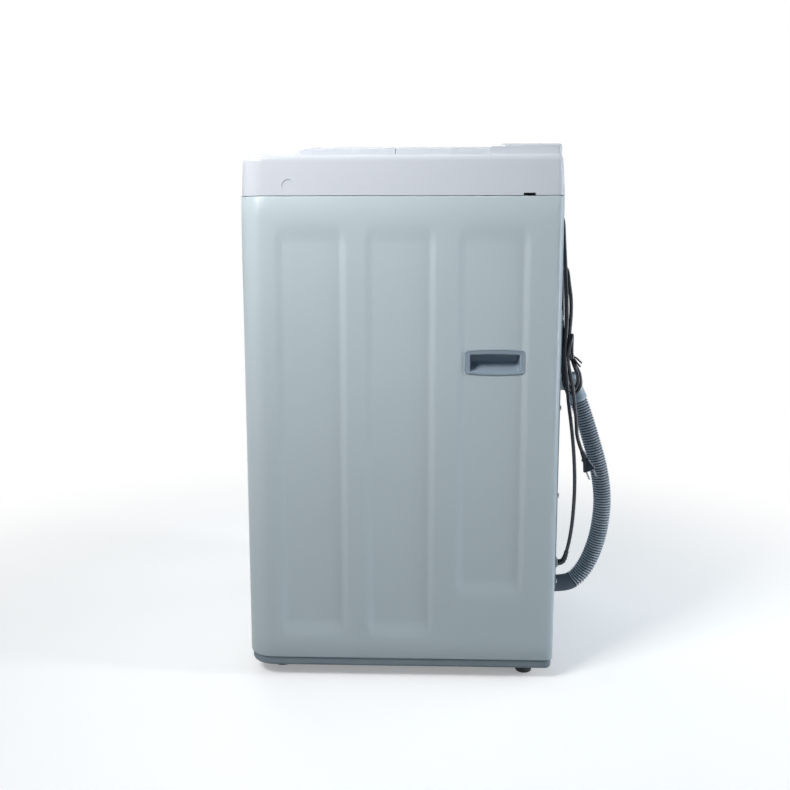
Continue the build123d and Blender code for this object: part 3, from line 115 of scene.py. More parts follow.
def tinted(tree, shader, place, size_mm, low, high):
    """Slow colour drift between two shades, with patches of a real size."""
    noise = add(tree, "ShaderNodeTexNoise", {"Vector": place, "Scale": 1 / (size_mm * MM),
                                             "Detail": 3.0})
    shade = add(tree, "ShaderNodeValToRGB", {"Fac": noise.outputs[0]})
    for stop, position, colour in zip(shade.color_ramp.elements, (0.25, 0.75), (low, high)):
        stop.position = position
        stop.color = colour
    tree.links.new(shade.outputs[0], shader.inputs["Base Color"])


def rough_drift(tree, shader, place, size_mm, low, high):
    """Roughness that drifts between two values, as handling and cleaning leave it."""
    noise = add(tree, "ShaderNodeTexNoise", {"Vector": place, "Scale": 1 / (size_mm * MM),
                                             "Detail": 4.0})
    gloss = add(tree, "ShaderNodeMapRange", {"Value": noise.outputs[0], "From Min": 0.3,
                                             "From Max": 0.7, "To Min": low, "To Max": high})
    tree.links.new(gloss.outputs[0], shader.inputs["Roughness"])


# ---------------------------------------------------------------- finishes
def painted_steel():
    """Coil coated sheet steel: a smooth satin enamel, with the sheet's slow waviness in its gloss."""
    material, tree, shader = finish("coil_coated_steel", hex_linear("#C1CED4"), Roughness=0.34, IOR=1.5)
    place = grained(tree, shader, [(260.0, 1.0), (7.0, 0.03)], 1.4, 0.5)
    tinted(tree, shader, place, 210.0, hex_linear("#BFCCD2"), hex_linear("#C3D0D6"))
    rough_drift(tree, shader, place, 60.0, 0.31, 0.38)
    return material


def back_steel():
    """Coil coated back panel: the same enamel, thinner and duller, over the sheet's faint spangle."""
    material, tree, shader = finish("dull_coated_steel", hex_linear("#A9B4BB"), Roughness=0.46, IOR=1.5)
    place = grained(tree, shader, [(120.0, 1.0), (9.0, 0.05)], 0.8, 0.5)
    tinted(tree, shader, place, 18.0, hex_linear("#A4AFB6"), hex_linear("#AEB9C0"))
    rough_drift(tree, shader, place, 30.0, 0.42, 0.52)
    return material


def gloss_abs(name="gloss_moulded_abs", tone="#D4D8E0", deep="#D1D6DE", roughness=0.15):
    """Injection moulded ABS from a polished tool: glossy, with faint sink waves over its ribs."""
    material, tree, shader = finish(name, hex_linear(tone), Roughness=roughness, IOR=1.53)
    place = grained(tree, shader, [(70.0, 1.0), (5.0, 0.04)], 0.25, 0.4)
    tinted(tree, shader, place, 160.0, hex_linear(deep), hex_linear(tone))
    rough_drift(tree, shader, place, 45.0, roughness - 0.02, roughness + 0.02)
    return material


def textured_plastic(name, tone, deep, roughness, grain_mm):
    """Moulded polypropylene from a spark textured tool: an even fine grain that softens its shine."""
    material, tree, shader = finish(name, hex_linear(tone), Roughness=roughness, IOR=1.49)
    place = grained(tree, shader, [(grain_mm, 1.0), (grain_mm * 12, 0.6)], 0.25, 0.5)
    tinted(tree, shader, place, 90.0, hex_linear(deep), hex_linear(tone))
    rough_drift(tree, shader, place, 25.0, roughness - 0.05, roughness + 0.07)
    return material


def soft_rubber(name, tone, deep, roughness):
    """Moulded rubber: a dull skin with a powdery drift."""
    material, tree, shader = finish(name, hex_linear(tone), Roughness=roughness, IOR=1.52)
    place = grained(tree, shader, [(1.6, 1.0)], 0.12, 0.4)
    tinted(tree, shader, place, 22.0, hex_linear(deep), hex_linear(tone))
    rough_drift(tree, shader, place, 14.0, roughness - 0.06, roughness + 0.08)
    return material


def plated(name, tone, roughness, grain_mm=2.5):
    """Bright plated steel: grey metal with the plating's fine cloudiness."""
    material, tree, shader = finish(name, hex_linear(tone), Metallic=1.0, Roughness=roughness)
    place = grained(tree, shader, [(grain_mm, 1.0)], 0.05, 0.35)
    rough_drift(tree, shader, place, 8.0, roughness - 0.05, roughness + 0.1)
    return material


def brushed_stainless():
    """Rolled stainless sheet: fine brush lines round the drum, drawn coarse enough to be seen."""
    material, tree, shader = finish("brushed_stainless", hex_linear("#C9CBCD"), Metallic=1.0,
                                    Roughness=0.3)
    place = grained(tree, shader, [(1.5, 1.0)], 0.04, 0.3, squash=(0.08, 0.08, 1.0))
    rough_drift(tree, shader, place, 12.0, 0.24, 0.38)
    return material


def cast_alloy():
    """Cast aluminium: a matt sandy skin."""
    material, tree, shader = finish("cast_aluminium", hex_linear("#A9ABAE"), Metallic=1.0,
                                    Roughness=0.55)
    grained(tree, shader, [(1.8, 1.0)], 0.3, 0.6)
    return material


def corrugated_polyethylene():
    """Blow moulded polyethylene hose: waxy grey on its crests; its grooves take a darker painted shade.
    """
    material, tree, shader = finish("corrugated_polyethylene", hex_linear("#BCC6D0"), Roughness=0.3,
                                    IOR=1.51)
    place = grained(tree, shader, [(2.2, 1.0)], 0.06, 0.3)
    tinted(tree, shader, place, 30.0, hex_linear("#B5C0CA"), hex_linear("#C2CCD6"))
    return material


def hose_groove_painted_shade():
    """The hose's grooves: the same polyethylene, duller, and darkened by painted shade where light
    reaches less into them.
    """
    material, tree, shader = finish("polyethylene_groove", hex_linear("#5C6671"), Roughness=0.6,
                                    IOR=1.51)
    place = grained(tree, shader, [(1.4, 1.0)], 0.08, 0.4)
    tinted(tree, shader, place, 26.0, hex_linear("#545E69"), hex_linear("#65707B"))
    return material


def cord_jacket():
    """Extruded flexible vinyl jacket: dark and smooth, with a long soft shine."""
    material, tree, shader = finish("extruded_vinyl", hex_linear("#1F2735"), Roughness=0.2, IOR=1.53)
    place = grained(tree, shader, [(3.0, 1.0)], 0.05, 0.25)
    tinted(tree, shader, place, 25.0, hex_linear("#1B222F"), hex_linear("#242D3C"))
    return material


def printed_overlay():
    """Printed polycarbonate film: an even silver blue under a clear satin face."""
    material, tree, shader = finish("printed_polycarbonate", hex_linear("#A9B6C6"), Roughness=0.28,
                                    IOR=1.58, **{"Coat Weight": 0.4, "Coat Roughness": 0.12})
    place = grained(tree, shader, [(1.2, 1.0)], 0.03, 0.25)
    tinted(tree, shader, place, 120.0, hex_linear("#A3B0C1"), hex_linear("#AFBCCB"))
    return material


FINISH_OF = {
    "cabinet_steel": painted_steel,
    "back_steel": back_steel,
    "plated_steel": lambda: plated("zinc_plate", "#A8ABAF", 0.42),
    "screw_steel": lambda: plated("bright_nickel_plate", "#C6C8CA", 0.25, 1.2),
    "basket_steel": brushed_stainless,
    "cast_metal": cast_alloy,
    "cover_plastic": gloss_abs,
    "lid_plastic": lambda: gloss_abs("gloss_moulded_lid_abs", "#D4D8E0", "#D0D5DD", 0.27),
    "fascia_plastic": printed_overlay,
    "button_plastic": lambda: gloss_abs("gloss_button_abs", "#E6E9EE", "#DFE3EA"),
    "grip_plastic": lambda: textured_plastic("satin_moulded_abs", "#97A6B4", "#8F9EAC", 0.36, 1.4),
    "base_plastic": lambda: textured_plastic("textured_polypropylene", "#87949E", "#7D8A94", 0.5, 1.6),
    "tub_plastic": lambda: textured_plastic("filled_polypropylene", "#D6DADF", "#CBD1D7", 0.45, 2.0),
    "valve_plastic": lambda: textured_plastic("moulded_nylon", "#D8DBDD", "#CDD1D4", 0.42, 1.6),
    "board_plastic": lambda: textured_plastic("potting_resin", "#3A4A43", "#33423B", 0.3, 2.5),
    "drain_plastic": corrugated_polyethylene,
    "hose_rubber": lambda: soft_rubber("black_moulded_rubber", "#1E1F22", "#191A1D", 0.5),
    "cuff_rubber": lambda: soft_rubber("pale_moulded_rubber", "#A9BDCA", "#9DB2C0", 0.42),
    "cord_rubber": cord_jacket,
    "foot_rubber": lambda: soft_rubber("grey_moulded_rubber", "#3B4046", "#33383E", 0.55),
}


def material_for(slot):
    """The finish of one of the record's material slots, made once."""
    made = bpy.context.scene.get("washer_finishes", {})
    if slot not in made:
        finishes = dict(made)
        finishes[slot] = FINISH_OF[slot]().name
        bpy.context.scene["washer_finishes"] = finishes
        made = finishes
    return bpy.data.materials[made[slot]]


# ---------------------------------------------------------------- mesh tools
def place_piece(name, bm, slot, body, *nodes, sharp=32.0, weighted=False):
    """Turn a bmesh into a piece with its finish, smooth but for its sharp edges, riding on a body."""
    mesh = bpy.data.meshes.new(name)
    bm.to_mesh(mesh)
    bm.free()
    for face in mesh.polygons:
        face.use_smooth = True
    mesh.set_sharp_from_angle(angle=math.radians(sharp))
    piece = bpy.data.objects.new(name, mesh)
    bpy.context.collection.objects.link(piece)
    mesh.materials.append(material_for(slot))
    if weighted:
        steady = piece.modifiers.new("Flat faces stay flat", "WEIGHTED_NORMAL")
        steady.keep_sharp = True
    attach(piece, body)
    if nodes:
        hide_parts(*nodes)
    return piece


def held(value):
    """A value kept between 0 and 1."""
    return min(max(value, 0.0), 1.0)


def eased(share):
    """A share from 0 to 1 that starts and ends gently."""
    return share * share * (3 - 2 * share)


def rounded(bm, edges, radius, steps):
    """Round a set of edges."""
    bmesh.ops.bevel(bm, geom=list(edges), offset=radius, segments=steps, profile=0.5,
                    affect="EDGES", material=-1, clamp_overlap=True)


def rounded_corners(bm, verts, radius, steps):
    """Round flat corners at their vertices; the new geometry."""
    return bmesh.ops.bevel(bm, geom=verts, offset=radius, segments=steps, profile=0.5,
                           affect="VERTICES", material=-1)


def outline(bm, low, high, z, front_r, rear_r, inset, steps):
    """A plan outline as a ring of edges: a rectangle with its own front and rear corner radius."""
    corners = [bm.verts.new((x, y, z)) for x, y in (
        (low[0] + inset, low[1] + inset), (high[0] - inset, low[1] + inset),
        (high[0] - inset, high[1] - inset), (low[0] + inset, high[1] - inset))]
    bm.faces.new(corners)
    new = set(corners)
    for pair, radius in ((corners[:2], front_r), (corners[2:], rear_r)):
        made = rounded_corners(bm, pair, max(radius - inset, LEAST_CORNER), steps)
        new |= set(made["verts"])
    return [e for e in bm.edges if all(v.is_valid and abs(v.co.z - z) < 1e-7 for v in e.verts)
            and set(e.verts) & {v for v in new if v.is_valid}]


def block(bm, low, high):
    """A box between two corners; its vertices."""
    size = [h - l for l, h in zip(low, high)]
    middle = Vector([(h + l) / 2 for l, h in zip(low, high)])
    place = Matrix.Translation(middle) @ Matrix.Diagonal((*size, 1))
    return bmesh.ops.create_cube(bm, size=1.0, matrix=place)["verts"]


def cut_lines(bm, axis, places):
    """Cut the mesh across at each place along an axis."""
    normal = Vector((0, 0, 0))
    normal[axis] = 1
    for place in places:
        point = Vector((0, 0, 0))
        point[axis] = place
        bmesh.ops.bisect_plane(bm, geom=bm.verts[:] + bm.edges[:] + bm.faces[:], dist=1e-7,
                               plane_co=point, plane_no=normal)


def from_node(node):
    """A merged copy of a CAD node's mesh, its flat triangles joined."""
    bm = bmesh.new()
    bm.from_mesh(frame["nodes"][node].data)
    bmesh.ops.remove_doubles(bm, verts=bm.verts[:], dist=2e-6)
    bmesh.ops.dissolve_limit(bm, angle_limit=math.radians(0.4), verts=bm.verts[:], edges=bm.edges[:],
                             use_dissolve_boundaries=False, delimit=set())
    return bm


def soften(bm, radius, angle):
    """Give the sharp edges of a moulded or pressed piece the small radius of the real one."""
    sharp = [e for e in bm.edges
             if len(e.link_faces) == 2 and e.calc_face_angle(0) > math.radians(angle)]
    if sharp:
        rounded(bm, sharp, radius, 2)


def smooth_line(points, resolution=24):
    """A cord's line: an open NURBS spline over its route's points."""
    curve = bpy.data.curves.new("line", "CURVE")
    curve.dimensions = "3D"
    spline = curve.splines.new("NURBS")
    spline.points.add(len(points) - 1)
    for point, place in zip(spline.points, points):
        point.co = (place[0] * MM, place[1] * MM, place[2] * MM, 1.0)
    spline.order_u = 3
    spline.use_endpoint_u = True
    spline.resolution_u = resolution
    return curve


def line_points(points, spacing):
    """Evenly spaced points read from a route's NURBS spline."""
    curve = smooth_line(points, 40)
    holder = bpy.data.objects.new("line", curve)
    bpy.context.collection.objects.link(holder)
    bpy.context.view_layer.update()
    mesh = bpy.data.meshes.new_from_object(holder.evaluated_get(bpy.context.evaluated_depsgraph_get()))
    dense = [v.co.copy() for v in mesh.vertices]
    bpy.data.objects.remove(holder)
    bpy.data.meshes.remove(mesh)
    length = sum((b - a).length for a, b in zip(dense, dense[1:]))
    count = max(2, round(length / spacing))
    step, wanted, walked, even = length / count, 0.0, 0.0, []
    for a, b in zip(dense, dense[1:]):
        span = (b - a).length
        while span > 0 and wanted <= walked + span + 1e-9 and len(even) <= count:
            even.append(a.lerp(b, held((wanted - walked) / span)))
            wanted += step
        walked += span
    return even, length


def close_ring(bm, ring):
    """Fill a ring of edges with one face."""
    bmesh.ops.edgeloop_fill(bm, edges=ring)


def ring_edges(made):
    """The edges of a circle that was just made, in the order of its vertices."""
    return list(dict.fromkeys(e for v in made["verts"] for e in v.link_edges))


def tube_along(bm, centres, radii, sides):
    """A closed tube whose rings stand across a line, each with its own radius."""
    aims = [(b - a).normalized() for a, b in zip(centres, centres[1:])]
    aims.append(aims[-1])
    aims = [aims[0]] + [(a + b).normalized() for a, b in zip(aims, aims[1:])]
    turn = aims[0].to_track_quat("Z", "Y")
    turns = [turn]
    for before, after in zip(aims, aims[1:]):
        turn = before.rotation_difference(after) @ turn
        turns.append(turn)
    made = bmesh.ops.create_circle(bm, cap_ends=False, radius=1.0, segments=sides)
    ring = ring_edges(made)
    first = ring
    place = Matrix.LocRotScale(centres[0], turns[0], Vector((radii[0],) * 3))
    bmesh.ops.transform(bm, matrix=place, verts=made["verts"])
    for centre, turned, radius in zip(centres[1:], turns[1:], radii[1:]):
        grown = bmesh.ops.extrude_edge_only(bm, edges=ring)
        verts = [g for g in grown["geom"] if isinstance(g, bmesh.types.BMVert)]
        ring = [g for g in grown["geom"] if isinstance(g, bmesh.types.BMEdge)
                and all(v in set(verts) for v in g.verts)]
        after = Matrix.LocRotScale(centre, turned, Vector((radius,) * 3))
        bmesh.ops.transform(bm, matrix=after @ place.inverted(), verts=verts)
        place = after
    close_ring(bm, first)
    close_ring(bm, ring)


def shaped_ring(bm, places):
    """A closed ring of edges through places worked out by a formula."""
    made = bmesh.ops.create_circle(bm, cap_ends=False, radius=1.0, segments=len(places))
    for vertex, place in zip(made["verts"], places):
        vertex.co = place
    return ring_edges(made)


def join_rings(bm, rings):
    """Join rings of edges one after another, and close the last."""
    for before, after in zip(rings, rings[1:]):
        bmesh.ops.bridge_loops(bm, edges=before + after)
    close_ring(bm, rings[-1])


def lofted(bm, rings):
    """Join rings of places one after another, and close the last."""
    join_rings(bm, [shaped_ring(bm, places) for places in rings])


def around(count, radius, height):
    """Places round a level circle; radius and height may be functions of the angle."""
    places = []
    for i in range(count):
        angle = 2 * math.pi * i / count
        r = radius(angle) if callable(radius) else radius
        h = height(angle) if callable(height) else height
        places.append((r * math.cos(angle), r * math.sin(angle), h))
    return places


def oblong(half_wide, half_tall, radius, corner_steps=6, side_steps=8):
    """Places round a rounded rectangle, with points along its sides too."""
    corners = []
    for sx, sy, start in ((1, 1, 0), (-1, 1, 90), (-1, -1, 180), (1, -1, 270)):
        cx, cy = sx * (half_wide - radius), sy * (half_tall - radius)
        angles = [math.radians(start + 90 * i / corner_steps) for i in range(corner_steps + 1)]
        corners.append([(cx + radius * math.cos(a), cy + radius * math.sin(a)) for a in angles])
    places = []
    for corner, after in zip(corners, corners[1:] + corners[:1]):
        (x0, y0), (x1, y1) = corner[-1], after[0]
        places += corner
        places += [(x0 + (x1 - x0) * i / side_steps, y0 + (y1 - y0) * i / side_steps)
                   for i in range(1, side_steps)]
    return places


def face_out(bm, faces, aim):
    """Make an open surface's faces agree, and turn them to face along aim."""
    bmesh.ops.recalc_face_normals(bm, faces=faces)
    if sum(f.calc_area() * f.normal.dot(Vector(aim)) for f in faces) < 0:
        bmesh.ops.reverse_faces(bm, faces=faces)


# ---------------------------------------------------------------- sizes and colours a user would change
class WasherSizes(bpy.types.PropertyGroup):
    """Sizes of the dressed details."""

    emboss_slope: bpy.props.FloatProperty(
        name="Panel slope", description="Width of the rounded wall of each pressed panel",
        default=15.0 * MM, min=3 * MM, max=20 * MM, unit="LENGTH")
    emboss_depth: bpy.props.FloatProperty(
        name="Panel depth", description="Depth of the panels pressed into each side",
        default=3.1 * MM, min=0.0, max=6 * MM, unit="LENGTH")
    cover_lean: bpy.props.FloatProperty(
        name="Cover lean", description="How far the top cover's sides lean in at their top",
        default=3.6 * MM, min=0.0, max=6 * MM, unit="LENGTH")
    rib_pitch: bpy.props.FloatProperty(
        name="Hose rib pitch", description="Distance from rib to rib along the drain hose",
        default=4.7 * MM, min=3 * MM, max=9 * MM, unit="LENGTH")
    edge_radius: bpy.props.FloatProperty(
        name="Moulded edge", description="Radius of the moulded pieces' small edges",
        default=0.5 * MM, min=0.1 * MM, max=1.5 * MM, unit="LENGTH")
    cord_diameter: bpy.props.FloatProperty(
        name="Cord diameter", description="Outside diameter of the power cord",
        default=6.2 * MM, min=5 * MM, max=9 * MM, unit="LENGTH")


class WasherColours(bpy.types.PropertyGroup):
    """Colour of the stage."""

    floor: bpy.props.FloatVectorProperty(
        name="Floor", description="Colour of the studio floor", subtype="COLOR", size=4,
        default=hex_linear("#F2F3F4"), min=0.0, max=1.0)


def sizes():
    """The sizes that the panel offers."""
    return bpy.context.scene.washer_sizes


# ---------------------------------------------------------------- stage
FADE_FROM = 0.55         # metres from the machine's middle, where the floor starts to turn white
FADE_TO = 1.5            # and where it is all white
FLOOR_GLOW = 0.3         # the floor's own light near the machine, seen only by the camera


def lamp(name, place, aim, size, watts, colour="#FFFFFF", beam=180):
    """A soft rectangular studio lamp turned towards a point, with its beam's angle in degrees."""
    data = bpy.data.lights.new(name, "AREA")
    data.shape = "RECTANGLE"
    data.size, data.size_y = size
    data.energy = watts
    data.color = hex_linear(colour)[:3]
    data.spread = math.radians(beam)
    light = bpy.data.objects.new(name, data)
    bpy.context.collection.objects.link(light)
    light.location = place
    light.rotation_mode = "QUATERNION"
    light.rotation_quaternion = (Vector(aim) - Vector(place)).to_track_quat("-Z", "Y")


class WASHER_OT_stage(bpy.types.Operator):
    """Floor, lamps and camera"""

    bl_idname = "washer.stage"
    bl_label = "Stage"

    def execute(self, context):
        context.scene.view_settings.view_transform = "Standard"
        self.floor(context)
        self.world(context.scene)
        self.lamps()
        self.camera(context)
        return {"FINISHED"}

    def floor(self, context):
        """A wide floor, white to the camera and greyer to the light that it throws back."""
        bm = bmesh.new()
        bmesh.ops.create_grid(bm, x_segments=8, y_segments=8, size=14.0)
        mesh = bpy.data.meshes.new("floor")
        bm.to_mesh(mesh)
        bm.free()
        floor = bpy.data.objects.new("floor", mesh)
        context.collection.objects.link(floor)
        colour = context.scene.washer_colours.floor
        material, tree, shader = finish("studio_floor", colour, Roughness=0.85)
        output = next(n for n in tree.nodes if n.type == "OUTPUT_MATERIAL")
        rays = add(tree, "ShaderNodeLightPath")
        seen = add(tree, "ShaderNodeMath", {0: rays.outputs["Is Camera Ray"],
                                            1: rays.outputs["Is Glossy Ray"]}, operation="MAXIMUM")
        seen = add(tree, "ShaderNodeMath", {0: seen.outputs[0],
                                            1: rays.outputs["Is Transmission Ray"]},
                   operation="MAXIMUM")
        bounce = add(tree, "ShaderNodeMix", {0: seen.outputs[0], 6: hex_linear("#8E9194"), 7: colour},
                     data_type="RGBA")
        tree.links.new(bounce.outputs[2], shader.inputs["Base Color"])
        place = add(tree, "ShaderNodeTexCoord").outputs["Object"]
        reach = add(tree, "ShaderNodeVectorMath", {0: place}, operation="LENGTH").outputs["Value"]
        away = add(tree, "ShaderNodeMapRange", {"Value": reach, "From Min": FADE_FROM,
                                                 "From Max": FADE_TO}, interpolation_type="SMOOTHSTEP")
        hidden = add(tree, "ShaderNodeMath", {0: away.outputs[0], 1: seen.outputs[0]},
                     operation="MULTIPLY")
        lift = add(tree, "ShaderNodeMath", {0: seen.outputs[0], 1: FLOOR_GLOW}, operation="MULTIPLY")
        glow = add(tree, "ShaderNodeEmission", {"Color": (1, 1, 1, 1), "Strength": lift.outputs[0]})
        both = add(tree, "ShaderNodeAddShader", {0: shader.outputs[0], 1: glow.outputs[0]})
        white = add(tree, "ShaderNodeEmission", {"Color": (1, 1, 1, 1), "Strength": 1.0})
        mixed = add(tree, "ShaderNodeMixShader", {0: hidden.outputs[0], 1: both.outputs[0],
                                                  2: white.outputs[0]})
        tree.links.new(mixed.outputs[0], output.inputs["Surface"])
        mesh.materials.append(material)

    def world(self, scene):
        """A white surround to the camera, a dim cool one to the surfaces."""
        world = scene.world or bpy.data.worlds.new("studio")
        scene.world = world
        world.use_nodes = True
        tree = world.node_tree
        tree.nodes.clear()
        rays = add(tree, "ShaderNodeLightPath")
        seen = add(tree, "ShaderNodeMath", {0: rays.outputs["Is Camera Ray"],
                                            1: rays.outputs["Is Transmission Ray"]},
                   operation="MAXIMUM")
        soft = add(tree, "ShaderNodeBackground", {"Color": hex_linear("#C2DAE4"), "Strength": 0.2})
        white = add(tree, "ShaderNodeBackground", {"Color": (1, 1, 1, 1), "Strength": 1.0})
        mixed = add(tree, "ShaderNodeMixShader", {0: seen.outputs[0], 1: soft.outputs[0],
                                                  2: white.outputs[0]})
        add(tree, "ShaderNodeOutputWorld", {"Surface": mixed.outputs[0]})

    def lamps(self):
        """The studio's soft lamps: each one's place, aim, size, watts, colour and beam."""
        lamp("key", (1.2, -0.95, 1.68), (0.26, -0.17, 0.97), (0.7, 0.7), 10.5, "#FFFCF9", 100)
        lamp("fill", (3.4, 0.9, 1.7), (0.2, 0.1, 0.6), (2.4, 1.6), 2, "#D2E6F0")
        lamp("top", (-0.3, -0.3, 2.6), (0.0, 0.0, 0.8), (1.5, 1.5), 7)
        lamp("rim", (0.55, 2.6, 0.75), (0.25, 0.26, 0.45), (0.3, 1.9), 38, "#F2F7FF")
        lamp("back", (-1.1, 2.6, 1.7), (0.0, 0.1, 0.5), (1.6, 1.4), 14)
        lamp("left", (-3.0, -1.4, 1.6), (0.0, 0.0, 0.5), (2.0, 1.6), 24)

    def camera(self, context):
        """The camera, beside the machine and level with its upper half."""
        pitch, yaw = math.radians(8.71), math.radians(1.95)
        aim = Vector((-math.cos(yaw) * math.cos(pitch), -math.sin(yaw) * math.cos(pitch),
                      -math.sin(pitch)))
        data = bpy.data.cameras.new("camera")
        data.sensor_width = 36.0
        data.lens = 42.29
        camera = bpy.data.objects.new("camera", data)
        context.collection.objects.link(camera)
        camera.location = (1.7525, 0.043, 0.718)
        camera.rotation_mode = "QUATERNION"
        camera.rotation_quaternion = aim.to_track_quat("-Z", "Y")
        context.scene.camera = camera


# ---------------------------------------------------------------- power cord
# The points of the cord's line in millimetres: up the back, through the tied hank, and to the plug.
LEAD = [(232, 266, 199.5), (232, 273, 199.5), (232, 278, 205.5), (232.5, 281.5, 219), (233, 286, 241),
        (234, 290, 275), (234.5, 292, 330), (233, 289.5, 384), (229, 284, 436), (225, 279, 470),
        (222, 276.5, 498)]
TAIL = [(219, 286, 498), (218, 289.5, 474), (217, 294, 440), (217, 295.5, 410), (217, 305, 388)]
TIE = (213.5, 276.0, 548.0)      # middle of the tie that holds the hank
HANK = [
    (221.5, 274, 525), (221, 271.5, 548), (222, 272, 575), (222.5, 273, 605), (222, 271.5, 650),
    (221.5, 268, 700), (221.5, 265, 740), (221.5, 263.6, 764), (213.5, 262.8, 773.5),
    (201.5, 262.8, 773.5), (193.5, 263.4, 764), (194.5, 264.2, 740), (197.5, 265.3, 700),
    (200, 267, 650), (203, 268.3, 600), (206, 269.3, 565), (207, 269.5, 545), (207.5, 270.5, 522),
    (208, 272.5, 501), (208.7, 279.5, 487.5), (209.5, 290, 484.5), (210, 298, 492),
    (210.5, 300.5, 506), (211, 297, 522), (212, 288.5, 536), (213, 280, 550), (213.5, 277.5, 565),
    (214.5, 279, 590), (216, 280.5, 620), (216.5, 279.5, 645), (217, 275.5, 668), (217, 273.5, 684),
    (210.5, 272, 692), (200.5, 271.5, 692), (194, 272.4, 684), (195, 273.5, 662), (199, 274.5, 630),
    (204, 275, 595), (209, 272.8, 568), (213.5, 269.8, 548), (214, 271, 532), (214.3, 273.5, 516),
    (214.6, 276.5, 502), (215, 283, 494.5), (215.4, 290.5, 495.5), (215.5, 295, 503),
    (215.5, 295, 515), (215, 291, 526), (214, 286, 538), (211, 284, 550), (208.8, 284, 562),
    (208.8, 284, 576), (213.2, 283.5, 583.5), (219.4, 282, 583.5), (223.8, 280, 576),
    (223.2, 277.5, 562), (220.5, 276, 546), (220, 278.5, 530), (219.5, 283, 512),
]


